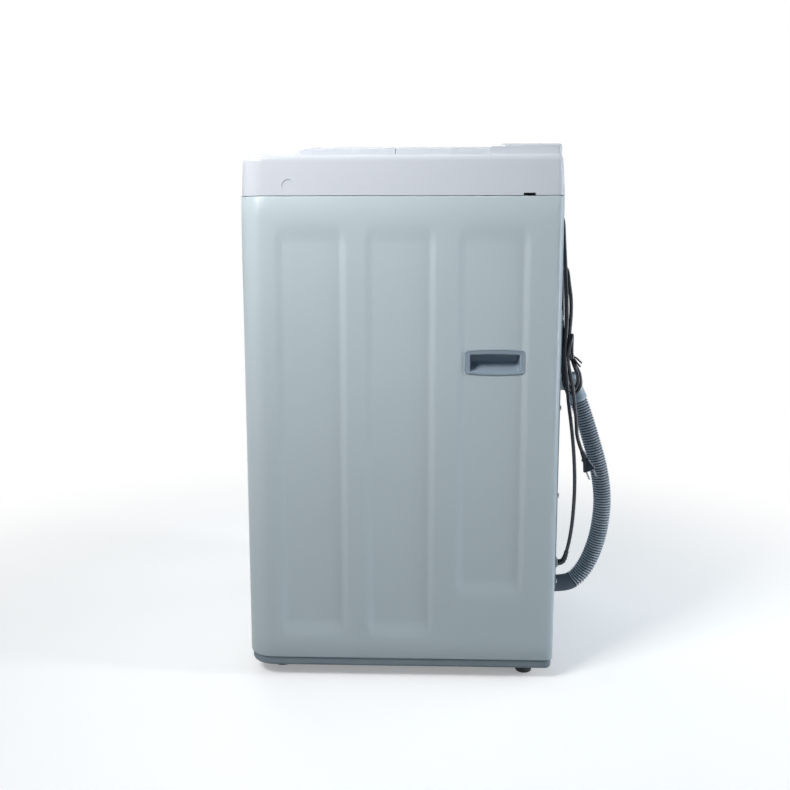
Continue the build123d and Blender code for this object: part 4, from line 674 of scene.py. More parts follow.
class WASHER_OT_power_cord(bpy.types.Operator):
    """The mains lead, its tied hank, its strain relief and its plug"""

    bl_idname = "washer.power_cord"
    bl_label = "Power cord"

    def execute(self, context):
        thick = sizes().cord_diameter
        points = LEAD + HANK + TAIL
        curve = smooth_line(points)
        curve.name = "power_cord"
        curve.bevel_depth = thick / 2
        curve.bevel_resolution = 6
        curve.use_fill_caps = True
        curve.materials.append(material_for("cord_rubber"))
        cord = bpy.data.objects.new("power_cord", curve)
        context.collection.objects.link(cord)
        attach(cord, "cabinet")
        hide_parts("power_cord_lead", "power_cord_hank", "power_cord_tail")

        _, length = line_points(points, 2 * MM)
        pieces = [self.tie(), self.relief(), self.plug()]
        return {"FINISHED"}

    def tie(self):
        """A wrapped tie with its twisted end."""
        bm = bmesh.new()
        block(bm, (-11.2 * MM, -10.6 * MM, -2.0 * MM), (11.2 * MM, 11.6 * MM, 2.0 * MM))
        upright = [e for e in bm.edges if abs(e.verts[0].co.z - e.verts[1].co.z) > 1 * MM]
        rounded(bm, upright, 5.5 * MM, 6)
        caps = [f for f in bm.faces if abs(f.normal.z) > 0.9]
        bmesh.ops.delete(bm, geom=caps, context="FACES_ONLY")
        bmesh.ops.solidify(bm, geom=bm.faces[:], thickness=0.9 * MM)
        bmesh.ops.transform(bm, matrix=Matrix.Translation(Vector(TIE) * MM), verts=bm.verts[:])
        for ends in ([(215, 286, 548), (216, 290, 547), (217, 295, 542), (217.5, 300, 537.5)],
                     [(213, 286, 546), (213.5, 289, 543), (214, 293.5, 536), (215, 298.5, 531)]):
            centres, _ = line_points(ends, 0.8 * MM)
            tube_along(bm, centres, [1.5 * MM] * (len(centres) - 1) + [1.2 * MM], 12)
        bmesh.ops.recalc_face_normals(bm, faces=bm.faces[:])
        return place_piece("cord_tie", bm, "cord_rubber", "cabinet")

    def relief(self):
        """A tapered, ribbed sleeve over the lead's first bend."""
        centres = line_points(LEAD[:5], 0.8 * MM)[0][:36]
        last = len(centres) - 1
        base_r, taper, groove_depth = 5.6, 1.9, 0.45
        radii = []
        for i in range(len(centres)):
            groove = groove_depth if (i // 2) % 3 == 2 and 4 < i < last - 3 else 0.0
            radii.append((base_r - taper * i / last - groove) * MM)
        bm = bmesh.new()
        tube_along(bm, centres, radii, 24)
        bmesh.ops.recalc_face_normals(bm, faces=bm.faces[:])
        return place_piece("cord_relief", bm, "cord_rubber", "cabinet")

    def plug(self):
        """The plug: a ribbed sleeve, a soft waisted body and two flat blades."""
        start = Vector(TAIL[-1]) * MM
        aim = (Vector(TAIL[-1]) - Vector(TAIL[-2])).normalized()
        across = (Vector((1, 0, 0)) - aim * aim.x).normalized()
        turned = Matrix((across, aim.cross(across), aim)).transposed().to_4x4()
        turned = turned @ Matrix.Rotation(math.radians(82), 4, "Z")
        bm = bmesh.new()
        sleeve_length, sleeve_r, flare, groove_depth = 15, 3.9, 0.1, 0.5
        centres = [start + aim * (i * MM) for i in range(sleeve_length)]
        radii = [(sleeve_r + flare * i - (groove_depth if i % 3 == 2 else 0.0)) * MM
                 for i in range(sleeve_length)]
        tube_along(bm, centres, radii, 28)
        body = bmesh.new()
        # along the plug, half width, half thickness
        levels = [(12.5, 4.8, 4.6), (13.2, 6.5, 6.0), (15.6, 6.7, 6.2), (16.4, 5.2, 5.2),
                  (18.0, 5.5, 5.3), (25.0, 7.9, 6.5), (32.4, 10.6, 7.8), (33.4, 10.9, 8.0),
                  (34.0, 10.3, 7.5)]
        squareness = 2 / 3.2
        rings = []
        for along, wide, thin in levels:
            made = bmesh.ops.create_circle(body, cap_ends=False, radius=1.0, segments=40)
            for v in made["verts"]:
                v.co.x = math.copysign(abs(v.co.x) ** squareness, v.co.x) * wide * MM
                v.co.y = math.copysign(abs(v.co.y) ** squareness, v.co.y) * thin * MM
                v.co.z = along * MM
            rings.append(ring_edges(made))
        close_ring(body, rings[0])
        join_rings(body, rings)
        for side in (-1, 1):
            blade_x, half_thick, half_wide = side * 6.35 * MM, 0.75 * MM, 3.15 * MM
            block(body, (blade_x - half_thick, -half_wide, 33 * MM),
                  (blade_x + half_thick, half_wide, 49 * MM))
        bmesh.ops.transform(body, matrix=Matrix.Translation(start) @ turned, verts=body.verts[:])
        bmesh.ops.recalc_face_normals(body, faces=body.faces[:])
        bmesh.ops.recalc_face_normals(bm, faces=bm.faces[:])
        loose = bpy.data.meshes.new("plug_body")
        body.to_mesh(loose)
        body.free()
        bm.from_mesh(loose)
        bpy.data.meshes.remove(loose)
        plug = place_piece("power_plug", bm, "cord_rubber", "cabinet", "plug")
        plug.data.materials.append(material_for("plated_steel"))
        body_end = 34.05 * MM
        for face in plug.data.polygons:
            if (face.center - start).dot(aim) > body_end:
                face.material_index = 1
        return plug


# ---------------------------------------------------------------- drain hose
# The points of the hose's line in millimetres, from the outlet up to its cuff.
HOSE = [(150, 268, 133), (150, 290, 133), (150.5, 309, 141), (151.5, 326, 162), (153, 341, 196),
        (155, 351, 240), (156.5, 354, 292), (158, 346, 344), (159, 328, 402), (159.5, 313.5, 446),
        (160, 304.5, 468)]


class WASHER_OT_drain_hose(bpy.types.Operator):
    """The corrugated drain hose with its plain ends and its cuff"""

    bl_idname = "washer.drain_hose"
    bl_label = "Drain hose"

    def execute(self, context):
        crest, groove, plain = 15.5 * MM, 12.3 * MM, 14.9 * MM
        wave = [0.0, 0.6, 1.0, 1.0, 0.6, 0.0]
        steps = len(wave)
        spacing = sizes().rib_pitch / steps
        centres, length = line_points(HOSE, spacing)
        smooth = round(40 * MM / spacing)
        bm = bmesh.new()
        radii = []
        for i in range(len(centres)):
            if i < smooth or i > len(centres) - 5:
                radii.append(plain)
            else:
                radii.append(groove + (crest - groove) * wave[(i - smooth) % steps])
        tube_along(bm, centres, radii, 40)
        bmesh.ops.recalc_face_normals(bm, faces=bm.faces[:])
        near = kdtree.KDTree(len(centres))
        for i, centre in enumerate(centres):
            near.insert(centre, i)
        near.balance()
        # Groove faces and the plain run at the outlet take the darker second finish appended below:
        # painted shade.
        for face in bm.faces:
            _, at, away = near.find(face.calc_center_median())
            face.material_index = int(at < smooth or away < groove + 0.55 * (crest - groove))
        hose = place_piece("drain_hose_ribbed", bm, "drain_plastic", "cabinet", "drain_hose", sharp=70)
        hose.data.materials.append(hose_groove_painted_shade())
        cuff = self.cuff(Vector(HOSE[-1]) * MM, (Vector(HOSE[-1]) - Vector(HOSE[-2])).normalized())
        return {"FINISHED"}

    def cuff(self, start, aim):
        """A smooth pale rubber cuff with a rolled rim at each end."""
        # along the cuff, radius
        profile = [(0.0, 15.9), (1.2, 16.5), (5.0, 16.5), (6.4, 15.9), (38.0, 15.3), (39.4, 16.2),
                   (44.6, 16.4), (46.0, 15.8), (46.0, 13.2), (40.0, 13.2), (20.0, 13.2)]
        bm = bmesh.new()
        turned = Matrix.Translation(start) @ aim.to_track_quat("Z", "Y").to_matrix().to_4x4()
        rings = []
        for along, radius in profile:
            made = bmesh.ops.create_circle(bm, cap_ends=False, radius=radius * MM, segments=48,
                                           matrix=turned @ Matrix.Translation((0, 0, along * MM)))
            rings.append(ring_edges(made))
        close_ring(bm, rings[0])
        join_rings(bm, rings)
        bmesh.ops.recalc_face_normals(bm, faces=bm.faces[:])
        return place_piece("hose_end_cuff", bm, "cuff_rubber", "cabinet", "hose_cuff", sharp=50)


# ---------------------------------------------------------------- cabinet
END_RUN_OUT = 0.42       # steepness of a pressed panel's ends, as a share of its sides' steepness
PRESS_CORNER = 16 * MM   # corner radius of a pressed panel
FRONT_CORNER = 45 * MM   # plan radius of the cabinet's front corners
REAR_CORNER = 14 * MM    # and of its rear ones
RETURN_FLANGE = 17 * MM  # how far the sheet turns in at its top and bottom
BACK_FLANGE = 22 * MM    # how far it turns in behind, where the back panel is fixed


def pressed_share(y, z, panel, slope, corner):
    """How far a point of the side lies down one pressed panel's wall, 0 to 1."""
    (y0, y1), (z0, z1) = panel
    dy = abs(y - (y0 + y1) / 2) - ((y1 - y0) / 2 - corner)
    dz = (abs(z - (z0 + z1) / 2) - ((z1 - z0) / 2)) * END_RUN_OUT + corner
    away = math.hypot(max(dy, 0.0), max(dz, 0.0)) + min(max(dy, dz), 0.0) - corner
    return eased(held(-away / slope))


def spread(low, high, step):
    """Places from low to high, at most a step apart."""
    count = max(1, math.ceil((high - low) / step))
    return [low + (high - low) * i / count for i in range(count + 1)]


class WASHER_OT_cabinet(bpy.types.Operator):
    """The wrapped steel cabinet with its pressed side panels"""

    bl_idname = "washer.cabinet"
    bl_label = "Cabinet"

    def execute(self, context):
        low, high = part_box("cabinet_shell")
        slope, depth = sizes().emboss_slope, sizes().emboss_depth
        top = high.z - 40 * MM
        panels = [((low.y + 58 * MM, low.y + 176 * MM), (low.z + 33 * MM, top)),
                  ((-58 * MM, 60 * MM), (low.z + 33 * MM, top)),
                  ((high.y - 169 * MM, high.y - 50 * MM), (low.z + 106 * MM, top))]
        bm = self.wrap(low, high)
        self.cut_sides(bm, high, panels)
        for v in bm.verts:
            if abs(abs(v.co.x) - high.x) < 1e-6:
                share = sum(pressed_share(v.co.y, v.co.z, p, slope, PRESS_CORNER) for p in panels)
                v.co.x -= math.copysign(depth * share, v.co.x)
        self.face_outwards(bm)
        inside = [f for f in bm.faces if abs(f.calc_center_median().x) < high.x - 20 * MM
                  and abs(f.calc_center_median().y) < high.y - 20 * MM]
        bmesh.ops.delete(bm, geom=inside, context="FACES")
        shell = place_piece("cabinet_wrap", bm, "cabinet_steel", "cabinet", "cabinet_shell", sharp=45)
        wall = shell.modifiers.new("Sheet", "SOLIDIFY")
        wall.thickness = SHEET_WALL
        wall.offset = -1.0
        return {"FINISHED"}

    def wrap(self, low, high):
        """The bent sheet: its folded edges at top and bottom, open behind between its two flanges."""
        bm = bmesh.new()
        before = None
        fold = 1.4 * MM
        levels = [(RETURN_FLANGE, 0.0), (fold, 0.0), (fold * 0.3, fold * 0.3), (0.0, fold)]
        heights = [(inset, low.z + up) for inset, up in levels]
        heights += [(inset, high.z - up) for inset, up in reversed(levels)]
        for inset, z in heights:
            ring = outline(bm, low, high, z, FRONT_CORNER, REAR_CORNER, inset, 12)
            faces = {f for e in ring for f in e.link_faces}
            bmesh.ops.delete(bm, geom=list(faces), context="FACES_ONLY")
            if before is not None:
                bmesh.ops.bridge_loops(bm, edges=before + ring)
            before = ring
        flange = high.x - BACK_FLANGE
        cut_lines(bm, 0, (-flange, flange))
        back = [f for f in bm.faces if abs(f.calc_center_median().x) < flange
                and f.calc_center_median().y > high.y - 18 * MM]
        bmesh.ops.delete(bm, geom=back, context="FACES")
        return bm

    def cut_sides(self, bm, high, panels):
        """Lines across the sides that the pressed panels need, and the hole for each grip."""
        across, up = set(), set()
        for (y0, y1), (z0, z1) in panels:
            across |= {round(v, 5)
                       for edge in ((y0 - 1 * MM, y0 + 18 * MM), (y1 - 18 * MM, y1 + 1 * MM))
                       for v in spread(*edge, 1.5 * MM)}
            up |= {round(v, 5)
                   for edge in ((z0 - 1 * MM, z0 + 80 * MM), (z1 - 80 * MM, z1 + 1 * MM))
                   for v in spread(*edge, 3 * MM)}
        rim_low, rim_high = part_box("side_grips")
        mouth_y, mouth_z = (rim_low.y + rim_high.y) / 2, 540.5 * MM
        half_wide, half_tall = 42.4 * MM, 16.8 * MM
        hole = [(mouth_y - half_wide, mouth_y + half_wide), (mouth_z - half_tall, mouth_z + half_tall)]
        guard = 1.2 * MM
        near = [[edge + off for edge in ends for off in (-guard, 0.0, guard)] for ends in hole]
        cut_lines(bm, 1, sorted(across | set(near[0])))
        cut_lines(bm, 2, sorted(up | set(near[1])))
        gone = [f for f in bm.faces if abs(f.calc_center_median().x) > high.x - 1 * MM
                and hole[0][0] < f.calc_center_median().y < hole[0][1]
                and hole[1][0] < f.calc_center_median().z < hole[1][1]]
        bmesh.ops.delete(bm, geom=gone, context="FACES")

    def face_outwards(self, bm):
        """Turn the open sheet's faces so that its outside faces out."""
        bmesh.ops.recalc_face_normals(bm, faces=bm.faces[:])
        if sum(f.normal.x * f.calc_center_median().x * f.calc_area() for f in bm.faces) < 0:
            bmesh.ops.reverse_faces(bm, faces=bm.faces[:])


# ---------------------------------------------------------------- moulded covers
class WASHER_OT_top_cover(bpy.types.Operator):
    """The moulded top cover with its leaning sides"""

    bl_idname = "washer.top_cover"
    bl_label = "Top cover"

    def execute(self, context):
        low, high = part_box("top_cover")
        lean = sizes().cover_lean
        bm = from_node("top_cover")
        soften(bm, sizes().edge_radius, 50.0)
        start, full, fade_reach = low.z + 4 * MM, high.z - 12 * MM, 13.5 * MM
        for v in bm.verts:
            if v.co.z <= start:
                continue
            rise = min((v.co.z - start) / (full - start), 1.0)
            for axis, reach in ((0, high.x), (1, high.y)):
                inset = reach - abs(v.co[axis])
                fade = max(0.0, 1.0 - inset / fade_reach)
                v.co[axis] -= math.copysign(lean * rise * fade, v.co[axis])
        bmesh.ops.recalc_face_normals(bm, faces=bm.faces[:])
        place_piece("moulded_top", bm, "cover_plastic", "cabinet", "top_cover", sharp=50, weighted=True)
        return {"FINISHED"}


def moulded(node, slot, body, radius):
    """A rigid node's own shape with its small moulded edges."""
    bm = from_node(node)
    soften(bm, radius, 45.0)
    place_piece(f"{node}_moulded", bm, slot, body, node, sharp=40, weighted=True)


class WASHER_OT_rear_deck(bpy.types.Operator):
    """The raised rear deck and the side grips"""

    bl_idname = "washer.rear_deck"
    bl_label = "Rear deck and grips"

    def execute(self, context):
        moulded("rear_console", "cover_plastic", "cabinet", sizes().edge_radius)
        low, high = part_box("side_grips")
        middle_y, middle_z = (low.y + high.y) / 2, 543.5 * MM
        bow = 2.5 * MM
        # inward from the face, half width, half height, lift, corner radius, share of the bow
        levels = [(3.4, 49.5, 19.0, 0, 6.0, 1), (0.5, 49.2, 18.6, 0, 6.0, 1),
                  (0.0, 48.4, 17.9, 0, 5.6, 1), (0.1, 47.6, 17.1, 0, 5.2, 1),
                  (1.0, 46.7, 16.2, 0, 4.8, 1), (1.1, 45.8, 15.3, 0, 4.4, 1),
                  (0.9, 41.2, 14.9, -2.2, 2.0, 0.4), (1.5, 40.4, 14.2, -2.4, 1.8, 0.4),
                  (3.0, 40.0, 13.6, -2.2, 1.8, 0.4), (4.2, 40.2, 15.4, 0.2, 2.0, 0.2),
                  (11.0, 39.6, 14.6, 2.2, 3.0, 0.1), (20.0, 38.8, 12.4, 5.0, 4.0, 0),
                  (26.0, 37.6, 10.8, 6.8, 4.0, 0), (26.8, 36.0, 9.2, 7.2, 4.0, 0)]
        bm = bmesh.new()
        for side in (-1, 1):
            kept, rings = set(bm.faces), []
            for depth, wide, tall, lift, radius, share in levels:
                ring = []
                for y, z in oblong(wide * MM, tall * MM, radius * MM):
                    swell = bow * share * max(0.0, 1 - (y / (wide * MM)) ** 2)
                    z += math.copysign(swell, z) if abs(z) > (tall - radius) * MM * 0.98 else 0.0
                    ring.append((side * (high.x - depth * MM), middle_y + y, middle_z + lift * MM + z))
                rings.append(ring)
            lofted(bm, rings)
            face_out(bm, [f for f in bm.faces if f not in kept], (side, 0, 0))
        place_piece("side_grips_moulded", bm, "grip_plastic", "cabinet", "side_grips", sharp=48)
        return {"FINISHED"}


class WASHER_OT_lid(bpy.types.Operator):
    """The two halves of the folding lid"""

    bl_idname = "washer.lid"
    bl_label = "Folding lid"

    def execute(self, context):
        moulded("lid_rear_panel", "lid_plastic", "lid_rear", 0.4 * MM)
        moulded("lid_front_panel", "lid_plastic", "lid_front", 0.4 * MM)
        return {"FINISHED"}


class WASHER_OT_base(bpy.types.Operator):
    """The moulded base and its feet"""

    bl_idname = "washer.base"
    bl_label = "Base and feet"

    def execute(self, context):
        moulded("base_frame", "base_plastic", "cabinet", 0.8 * MM)
        moulded("rear_feet", "foot_rubber", "cabinet", 0.5 * MM)
        return {"FINISHED"}


class WASHER_OT_back(bpy.types.Operator):
    """The ribbed access cover and its screws"""

    bl_idname = "washer.back"
    bl_label = "Back"

    def execute(self, context):
        self.access_cover()
        self.screws()
        return {"FINISHED"}

    def access_cover(self):
        """The pressed access cover: a rounded raised field with level stiffening beads."""
        low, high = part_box("rear_access_cover")
        wide, tall = (high.x - low.x) / 2, (high.z - low.z) / 2
        middle_z = (low.z + high.z) / 2
        face_y, field, slope = high.y - 2.4 * MM, 22 * MM, 7 * MM
        beads = [middle_z + tall * share for share in (-0.52, -0.17, 0.17, 0.52)]
        bead_wide, bead_reach = 9 * MM, wide - 62 * MM

        def relief(x, z):
            inset = min(wide - abs(x), tall - abs(z - middle_z)) - field
            height = 1.2 * MM * eased(held(inset / slope))
            for bead in beads:
                off = math.hypot(max(abs(x) - bead_reach, 0.0), z - bead) / bead_wide
                height += 1.15 * MM * max(0.0, 1 - off * off) ** 2
            return height

        bm = bmesh.new()
        bmesh.ops.create_grid(bm, x_segments=1, y_segments=1, size=0.5,
                              matrix=Matrix.Rotation(math.pi / 2, 4, "X"))
        for v in bm.verts:
            v.co = (v.co.x * 2 * wide, face_y, middle_z + v.co.z * 2 * tall)
        rounded_corners(bm, bm.verts[:], 8 * MM, 6)
        rows = [b + k for b in beads for k in spread(-bead_wide, bead_wide, 2 * MM)]
        columns = []
        for side in (-1, 1):
            rows += [middle_z + side * (tall - field - k) for k in spread(0, slope, 1.8 * MM)]
            columns += [side * (wide - field - k) for k in spread(0, slope, 1.8 * MM)]
            columns += [side * (bead_reach + k) for k in spread(-1 * MM, bead_wide, 2 * MM)]
        cut_lines(bm, 0, sorted({round(x, 5) for x in columns}))
        cut_lines(bm, 2, sorted({round(z, 5) for z in rows}))
        for v in bm.verts:
            v.co.y += relief(v.co.x, v.co.z)
        edge = [e for e in bm.edges if e.is_boundary]
        turned = bmesh.ops.extrude_edge_only(bm, edges=edge)
        for g in turned["geom"]:
            if isinstance(g, bmesh.types.BMVert):
                g.co.y -= 1.6 * MM
        face_out(bm, bm.faces[:], (0, 1, 0))
        place_piece("access_cover_pressed", bm, "back_steel", "cabinet", "rear_access_cover", sharp=50)

    def screws(self):
        """Pan head screws with a cross recess, four down each edge of the access cover."""

        def cross(wide, narrow):
            return lambda angle: narrow + (wide - narrow) * abs(math.cos(2 * angle)) ** 6

        low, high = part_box("rear_cover_screws")
        radius = 4.2 * MM
        rings = [around(32, radius, -1.4 * MM), around(32, radius, -0.9 * MM),
                 around(32, radius * 0.93, -0.45 * MM), around(32, radius * 0.78, -0.12 * MM),
                 around(32, radius * 0.6, 0.0), around(32, cross(2.0 * MM, 0.62 * MM), 0.0),
                 around(32, cross(1.7 * MM, 0.5 * MM), -1.1 * MM)]
        bm = bmesh.new()
        for side in (-1, 1):
            for step in range(4):
                x = side * (high.x - radius)
                z = low.z + radius + step * (high.z - low.z - 2 * radius) / 3
                turn = 0.7 * step + 0.4 * side
                place = (Matrix.Translation((x, high.y, z)) @ Matrix.Rotation(-math.pi / 2, 4, "X")
                         @ Matrix.Rotation(turn, 4, "Z"))
                kept = set(bm.verts)
                lofted(bm, rings)
                bmesh.ops.transform(bm, matrix=place, verts=[v for v in bm.verts if v not in kept])
        face_out(bm, bm.faces[:], (0, 1, 0))
        place_piece("cover_screws_crossed", bm, "screw_steel", "cabinet", "rear_cover_screws", sharp=40)


class WASHER_OT_basket(bpy.types.Operator):
    """The perforated basket and the vaned pulsator in it"""

    bl_idname = "washer.basket"
    bl_label = "Basket and pulsator"

    def execute(self, context):
        self.basket()
        self.rails()
        self.pulsator()
        return {"FINISHED"}

    def basket(self):
        """Rolled sheet with rows of drain holes and eight upright swages, on its dished base."""
        low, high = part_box("wash_basket")
        radius, floor = high.x - 0.4 * MM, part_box("pulsator")[0].z - 2 * MM
        pitch, hole, turn = 13.9 * MM, 3.6 * MM, 2 * math.pi
        swages, swage_wide, swage_depth, fade = 8, 0.09, 3.2 * MM, 30 * MM
        bands = spread(floor + 14 * MM, high.z - 60 * MM, pitch)
        count = round(turn * radius / pitch)
        bm = bmesh.new()
        bmesh.ops.create_grid(bm, x_segments=count, y_segments=len(bands) - 1, size=0.5)
        rise = (bands[-1] - bands[0]) / (len(bands) - 1)
        for v in bm.verts:
            v.co = ((v.co.x + 0.5) * count * pitch,
                    bands[0] + (v.co.y + 0.5) * rise * (len(bands) - 1), 0)
        bmesh.ops.inset_individual(bm, faces=bm.faces[:], thickness=(pitch - hole) / 2)
        holes = [f for f in bm.faces if f.calc_area() < (hole * 1.2) ** 2]
        rims = list(dict.fromkeys(v for f in holes for v in f.verts))
        rounded_corners(bm, rims, hole * 0.28, 1)
        holes = [f for f in bm.faces if f.calc_area() < (hole * 1.2) ** 2 and len(f.verts) == 8]
        bmesh.ops.delete(bm, geom=holes, context="FACES")
        for top, edge in ((False, bands[0]), (True, bands[-1])):
            rim = [e for e in bm.edges
                   if e.is_boundary and all(abs(v.co.y - edge) < 1e-6 for v in e.verts)]
            grown = bmesh.ops.extrude_edge_only(bm, edges=rim)
            for g in grown["geom"]:
                if isinstance(g, bmesh.types.BMVert):
                    g.co.y = high.z if top else low.z
        for v in bm.verts:
            angle, z = v.co.x / (count * pitch) * turn, v.co.y
            swage = math.exp(-(((angle * swages / turn) % 1 - 0.5) / swage_wide) ** 2)
            ends = held((z - floor - 20 * MM) / fade) * held((high.z - 70 * MM - z) / fade)
            r = radius - swage_depth * swage * ends
            v.co = (r * math.sin(angle), r * math.cos(angle), z)
        bmesh.ops.remove_doubles(bm, verts=bm.verts[:], dist=0.05 * MM)
        bmesh.ops.recalc_face_normals(bm, faces=bm.faces[:])
        if sum(f.normal.dot(f.calc_center_median().xy.to_3d()) for f in bm.faces) > 0:
            bmesh.ops.reverse_faces(bm, faces=bm.faces[:])
        drum = place_piece("basket_perforated", bm, "basket_steel", "basket", "wash_basket", sharp=60)
        wall = drum.modifiers.new("Sheet", "SOLIDIFY")
        wall.thickness = 0.7 * MM
        wall.offset = -1.0
        self.base(radius - 1.2 * MM, floor)

    def base(self, rim, floor):
        """The basket's moulded base, dished round the pulsator."""
        profile = [(rim, floor - 12 * MM), (rim, floor + 6 * MM), (rim - 2 * MM, floor + 9 * MM),
                   (rim - 6 * MM, floor + 9 * MM), (rim - 12 * MM, floor + 2 * MM),
                   (rim - 26 * MM, floor), (60 * MM, floor), (30 * MM, floor)]
        bm = bmesh.new()
        lofted(bm, [around(96, r, z) for r, z in profile])
        face_out(bm, bm.faces[:], (0, 0, 1))
        place_piece("basket_base", bm, "tub_plastic", "basket", sharp=40)

    def rails(self):
        """The pair of rails that the lint filter slides in."""
        low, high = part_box("lint_filter")
        bm = bmesh.new()
        near, far = high.x + 0.4 * MM, high.x + 2.4 * MM
        for left, right in ((-far, -near), (near, far)):
            verts = block(bm, (left, low.y, low.z), (right, high.y - 4 * MM, high.z))
            rounded(bm, dict.fromkeys(e for v in verts for e in v.link_edges), 0.6 * MM, 2)
        place_piece("filter_rails", bm, "tub_plastic", "basket", sharp=40)

    def pulsator(self):
        """A dished disc with four swept vanes that run into a domed hub."""
        low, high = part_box("pulsator")
        reach, rim, dome = high.x, 9 * MM, high.z - low.z

        def height(r):
            def at(angle):
                share = r / reach
                vane = max(0.0, math.cos(4 * (angle + 0.9 * share))) ** 4
                body = math.sin(math.pi * held((share - 0.12) / 0.84)) ** 0.8
                hub = 0.5 + 0.5 * math.cos(math.pi * min(share / 0.34, 1.0))
                dish = 3 * MM * math.sin(math.pi * min(share, 1.0))
                return low.z + rim - dish + (dome - rim - 0.6 * MM) * max(hub, 0.72 * vane * body)
            return at

        sides = 144
        rings = [around(sides, reach, low.z + 0.5 * MM),
                 around(sides, reach * 0.998, low.z + rim - 3 * MM),
                 around(sides, reach * 0.985, low.z + rim - 0.8 * MM)]
        for i in range(27):
            radius = reach * (0.97 - 0.035 * i)
            rings.append(around(sides, radius, height(radius)))
        bm = bmesh.new()
        lofted(bm, rings)
        face_out(bm, bm.faces[:], (0, 0, 1))
        place_piece("pulsator_vaned", bm, "cover_plastic", "pulsator", "pulsator", sharp=50)


def bar(x, y, half_wide, half_tall, corner):
    """The outline of a small printed bar round a place, its sizes in millimetres."""
    return [(x + px, y + py) for px, py in oblong(half_wide * MM, half_tall * MM, corner * MM, 2, 2)]


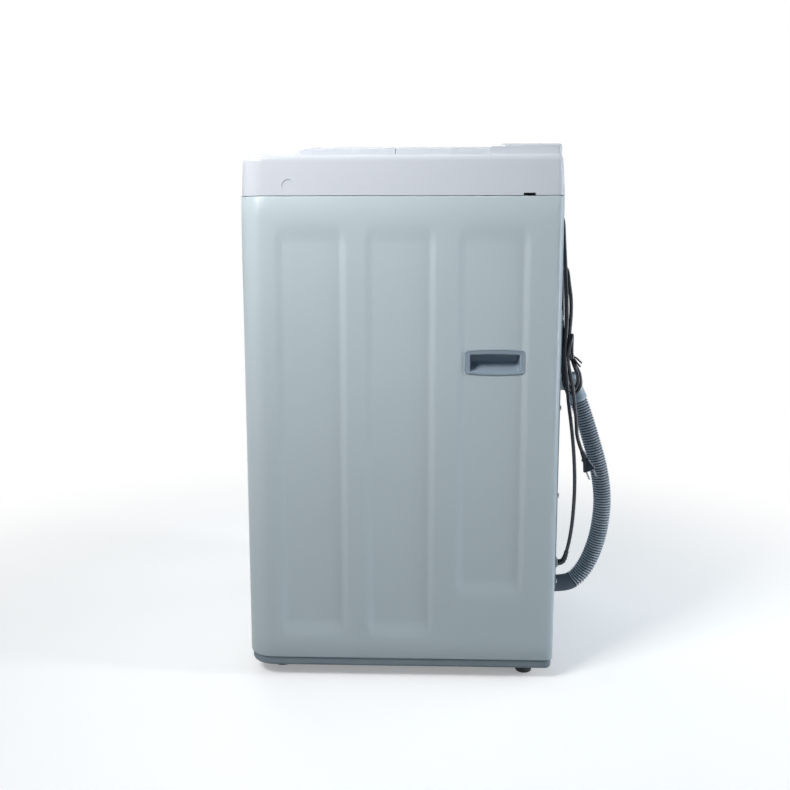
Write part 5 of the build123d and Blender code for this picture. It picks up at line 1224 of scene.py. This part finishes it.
class WASHER_OT_controls(bpy.types.Operator):
    """The printed panel's indicators, its display window and the button marks"""

    bl_idname = "washer.controls"
    bl_label = "Controls"

    def execute(self, context):
        low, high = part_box("control_fascia")
        face, row = high.z, (low.y + high.y) / 2
        self.display(face, row)
        self.lights(face, row)
        self.marks()
        return {"FINISHED"}

    def flat(self, bm, places, z, thick):
        """A thin flat print with the outline given, standing on a level face."""
        kept = set(bm.faces)
        lofted(bm, [[(x, y, z - thick) for x, y in places], [(x, y, z + thick) for x, y in places]])
        face_out(bm, [f for f in bm.faces if f not in kept], (0, 0, 1))

    def display(self, face, row):
        """The smoked display window with its unlit digits."""
        bm = bmesh.new()
        window = [(10 * MM + x, row + y) for x, y in oblong(34 * MM, 12 * MM, 4 * MM)]
        self.flat(bm, window, face, PRINT_THICK)
        place_piece("display_window", bm, "board_plastic", "cabinet", sharp=40)
        bm = bmesh.new()
        for digit in range(3):
            x0 = (-8 + 15 * digit) * MM
            for across, up, flat in ((0, 1, 1), (0, 0, 1), (0, -1, 1), (1, 0.5, 0), (-1, 0.5, 0),
                                     (1, -0.5, 0), (-1, -0.5, 0)):
                size = (2.6, 0.55) if flat else (0.55, 2.6)
                segment = bar(x0 + across * 3.5 * MM, row + up * 6.6 * MM, *size, 0.5)
                self.flat(bm, segment, face + PRINT_THICK, 0.05 * MM)
        place_piece("display_digits", bm, "cuff_rubber", "cabinet", sharp=40)

    def lights(self, face, row):
        """Rows of small indicator lenses, each beside a short printed line."""
        lenses, lines = bmesh.new(), bmesh.new()
        lens = [around(16, radius * MM, height * MM)
                for radius, height in ((1.5, 0.0), (1.3, 0.35), (0.7, 0.5))]
        for x in (-88, -72, 62, 78):
            for step in range(4):
                y = row + (10.5 - 7 * step) * MM
                lofted(lenses, [[(x * MM + px, y + py, face + pz) for px, py, pz in ring]
                                for ring in lens])
                line = bar((x + 7) * MM, y, 3.6 - 0.5 * (step % 2), 0.5, 0.45)
                self.flat(lines, line, face, 0.08 * MM)
        face_out(lenses, lenses.faces[:], (0, 0, 1))
        place_piece("indicator_lenses", lenses, "button_plastic", "cabinet", sharp=60)
        place_piece("printed_lines", lines, "cord_rubber", "cabinet", sharp=40)

    def marks(self):
        """Raised marks on the buttons: a pair of bars on the options, start and power signs."""
        for node, body in (("option_button_1", "option_1"), ("option_button_2", "option_2"),
                           ("start_button", "start"), ("power_button", "power")):
            low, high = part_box(node)
            x, y, top = (low.x + high.x) / 2, (low.y + high.y) / 2, high.z
            bm = bmesh.new()
            if node == "power_button":
                self.flat(bm, self.arc(x, y, 50, 310), top, PRINT_THICK)
                self.flat(bm, bar(x, y + 4.6 * MM, 0.55, 2.9, 0.5), top, PRINT_THICK)
            elif node == "start_button":
                corners = [Vector((-6, 4.2)), Vector((-6, -4.2)), Vector((0.6, 0))]
                sign = [Vector((x, y)) + a.lerp(b, k / 4) * MM
                        for a, b in zip(corners, corners[1:] + corners[:1]) for k in range(4)]
                self.flat(bm, sign, top, PRINT_THICK)
                for offset in (3.2, 6.2):
                    self.flat(bm, bar(x + offset * MM, y, 0.8, 4, 0.6), top, PRINT_THICK)
            else:
                for offset in (-2, 2):
                    line = bar(x, y + offset * MM, 5.5 - offset * 0.6, 0.6, 0.5)
                    self.flat(bm, line, top, PRINT_THICK)
            place_piece(f"{node}_mark", bm, "cord_rubber", body, sharp=40)

    def arc(self, x, y, start, end):
        """The outline of the power sign's open ring, its gap at the rear."""
        angles = [math.radians(90 + start + (end - start) * i / 24) for i in range(25)]
        outer = [(x + 5.2 * MM * math.cos(a), y + 5.2 * MM * math.sin(a)) for a in angles]
        inner = [(x + 4.1 * MM * math.cos(a), y + 4.1 * MM * math.sin(a)) for a in reversed(angles)]
        return outer + inner


class WASHER_OT_carried(bpy.types.Operator):
    """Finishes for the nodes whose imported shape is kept"""

    bl_idname = "washer.carried"
    bl_label = "Carried nodes"

    def execute(self, context):
        slots = {s["node"]: s["material_slot"] for s in frame["record"]["subparts"]}
        for name, node in frame["nodes"].items():
            node.data.materials.clear()
            node.data.materials.append(material_for(slots[name]))
        return {"FINISHED"}


# ---------------------------------------------------------------- add-on
OPERATORS = [WASHER_OT_stage, WASHER_OT_carried, WASHER_OT_power_cord, WASHER_OT_drain_hose,
             WASHER_OT_cabinet, WASHER_OT_top_cover, WASHER_OT_rear_deck, WASHER_OT_lid, WASHER_OT_base,
             WASHER_OT_back, WASHER_OT_basket, WASHER_OT_controls]


class WASHER_PT_panel(bpy.types.Panel):
    """Lists the washer's pieces"""

    bl_idname = "WASHER_PT_panel"
    bl_label = "Washer"
    bl_space_type = "VIEW_3D"
    bl_region_type = "UI"
    bl_category = "Washer"

    def draw(self, context):
        for operator in OPERATORS:
            self.layout.operator(operator.bl_idname)
        for group in (context.scene.washer_sizes, context.scene.washer_colours):
            for name in group.bl_rna.properties.keys():
                if name not in ("rna_type", "name"):
                    self.layout.prop(group, name)


CLASSES = [WasherSizes, WasherColours, *OPERATORS, WASHER_PT_panel]


def register():
    for kind in CLASSES:
        bpy.utils.register_class(kind)
    bpy.types.Scene.washer_sizes = bpy.props.PointerProperty(type=WasherSizes)
    bpy.types.Scene.washer_colours = bpy.props.PointerProperty(type=WasherColours)


def unregister():
    del bpy.types.Scene.washer_sizes, bpy.types.Scene.washer_colours
    for kind in reversed(CLASSES):
        bpy.utils.unregister_class(kind)


def main():
    register()
    for operator in OPERATORS:
        space, name = operator.bl_idname.split(".")
        getattr(getattr(bpy.ops, space), name)()
    bpy.context.view_layer.update()


if __name__ == "__main__":
    main()
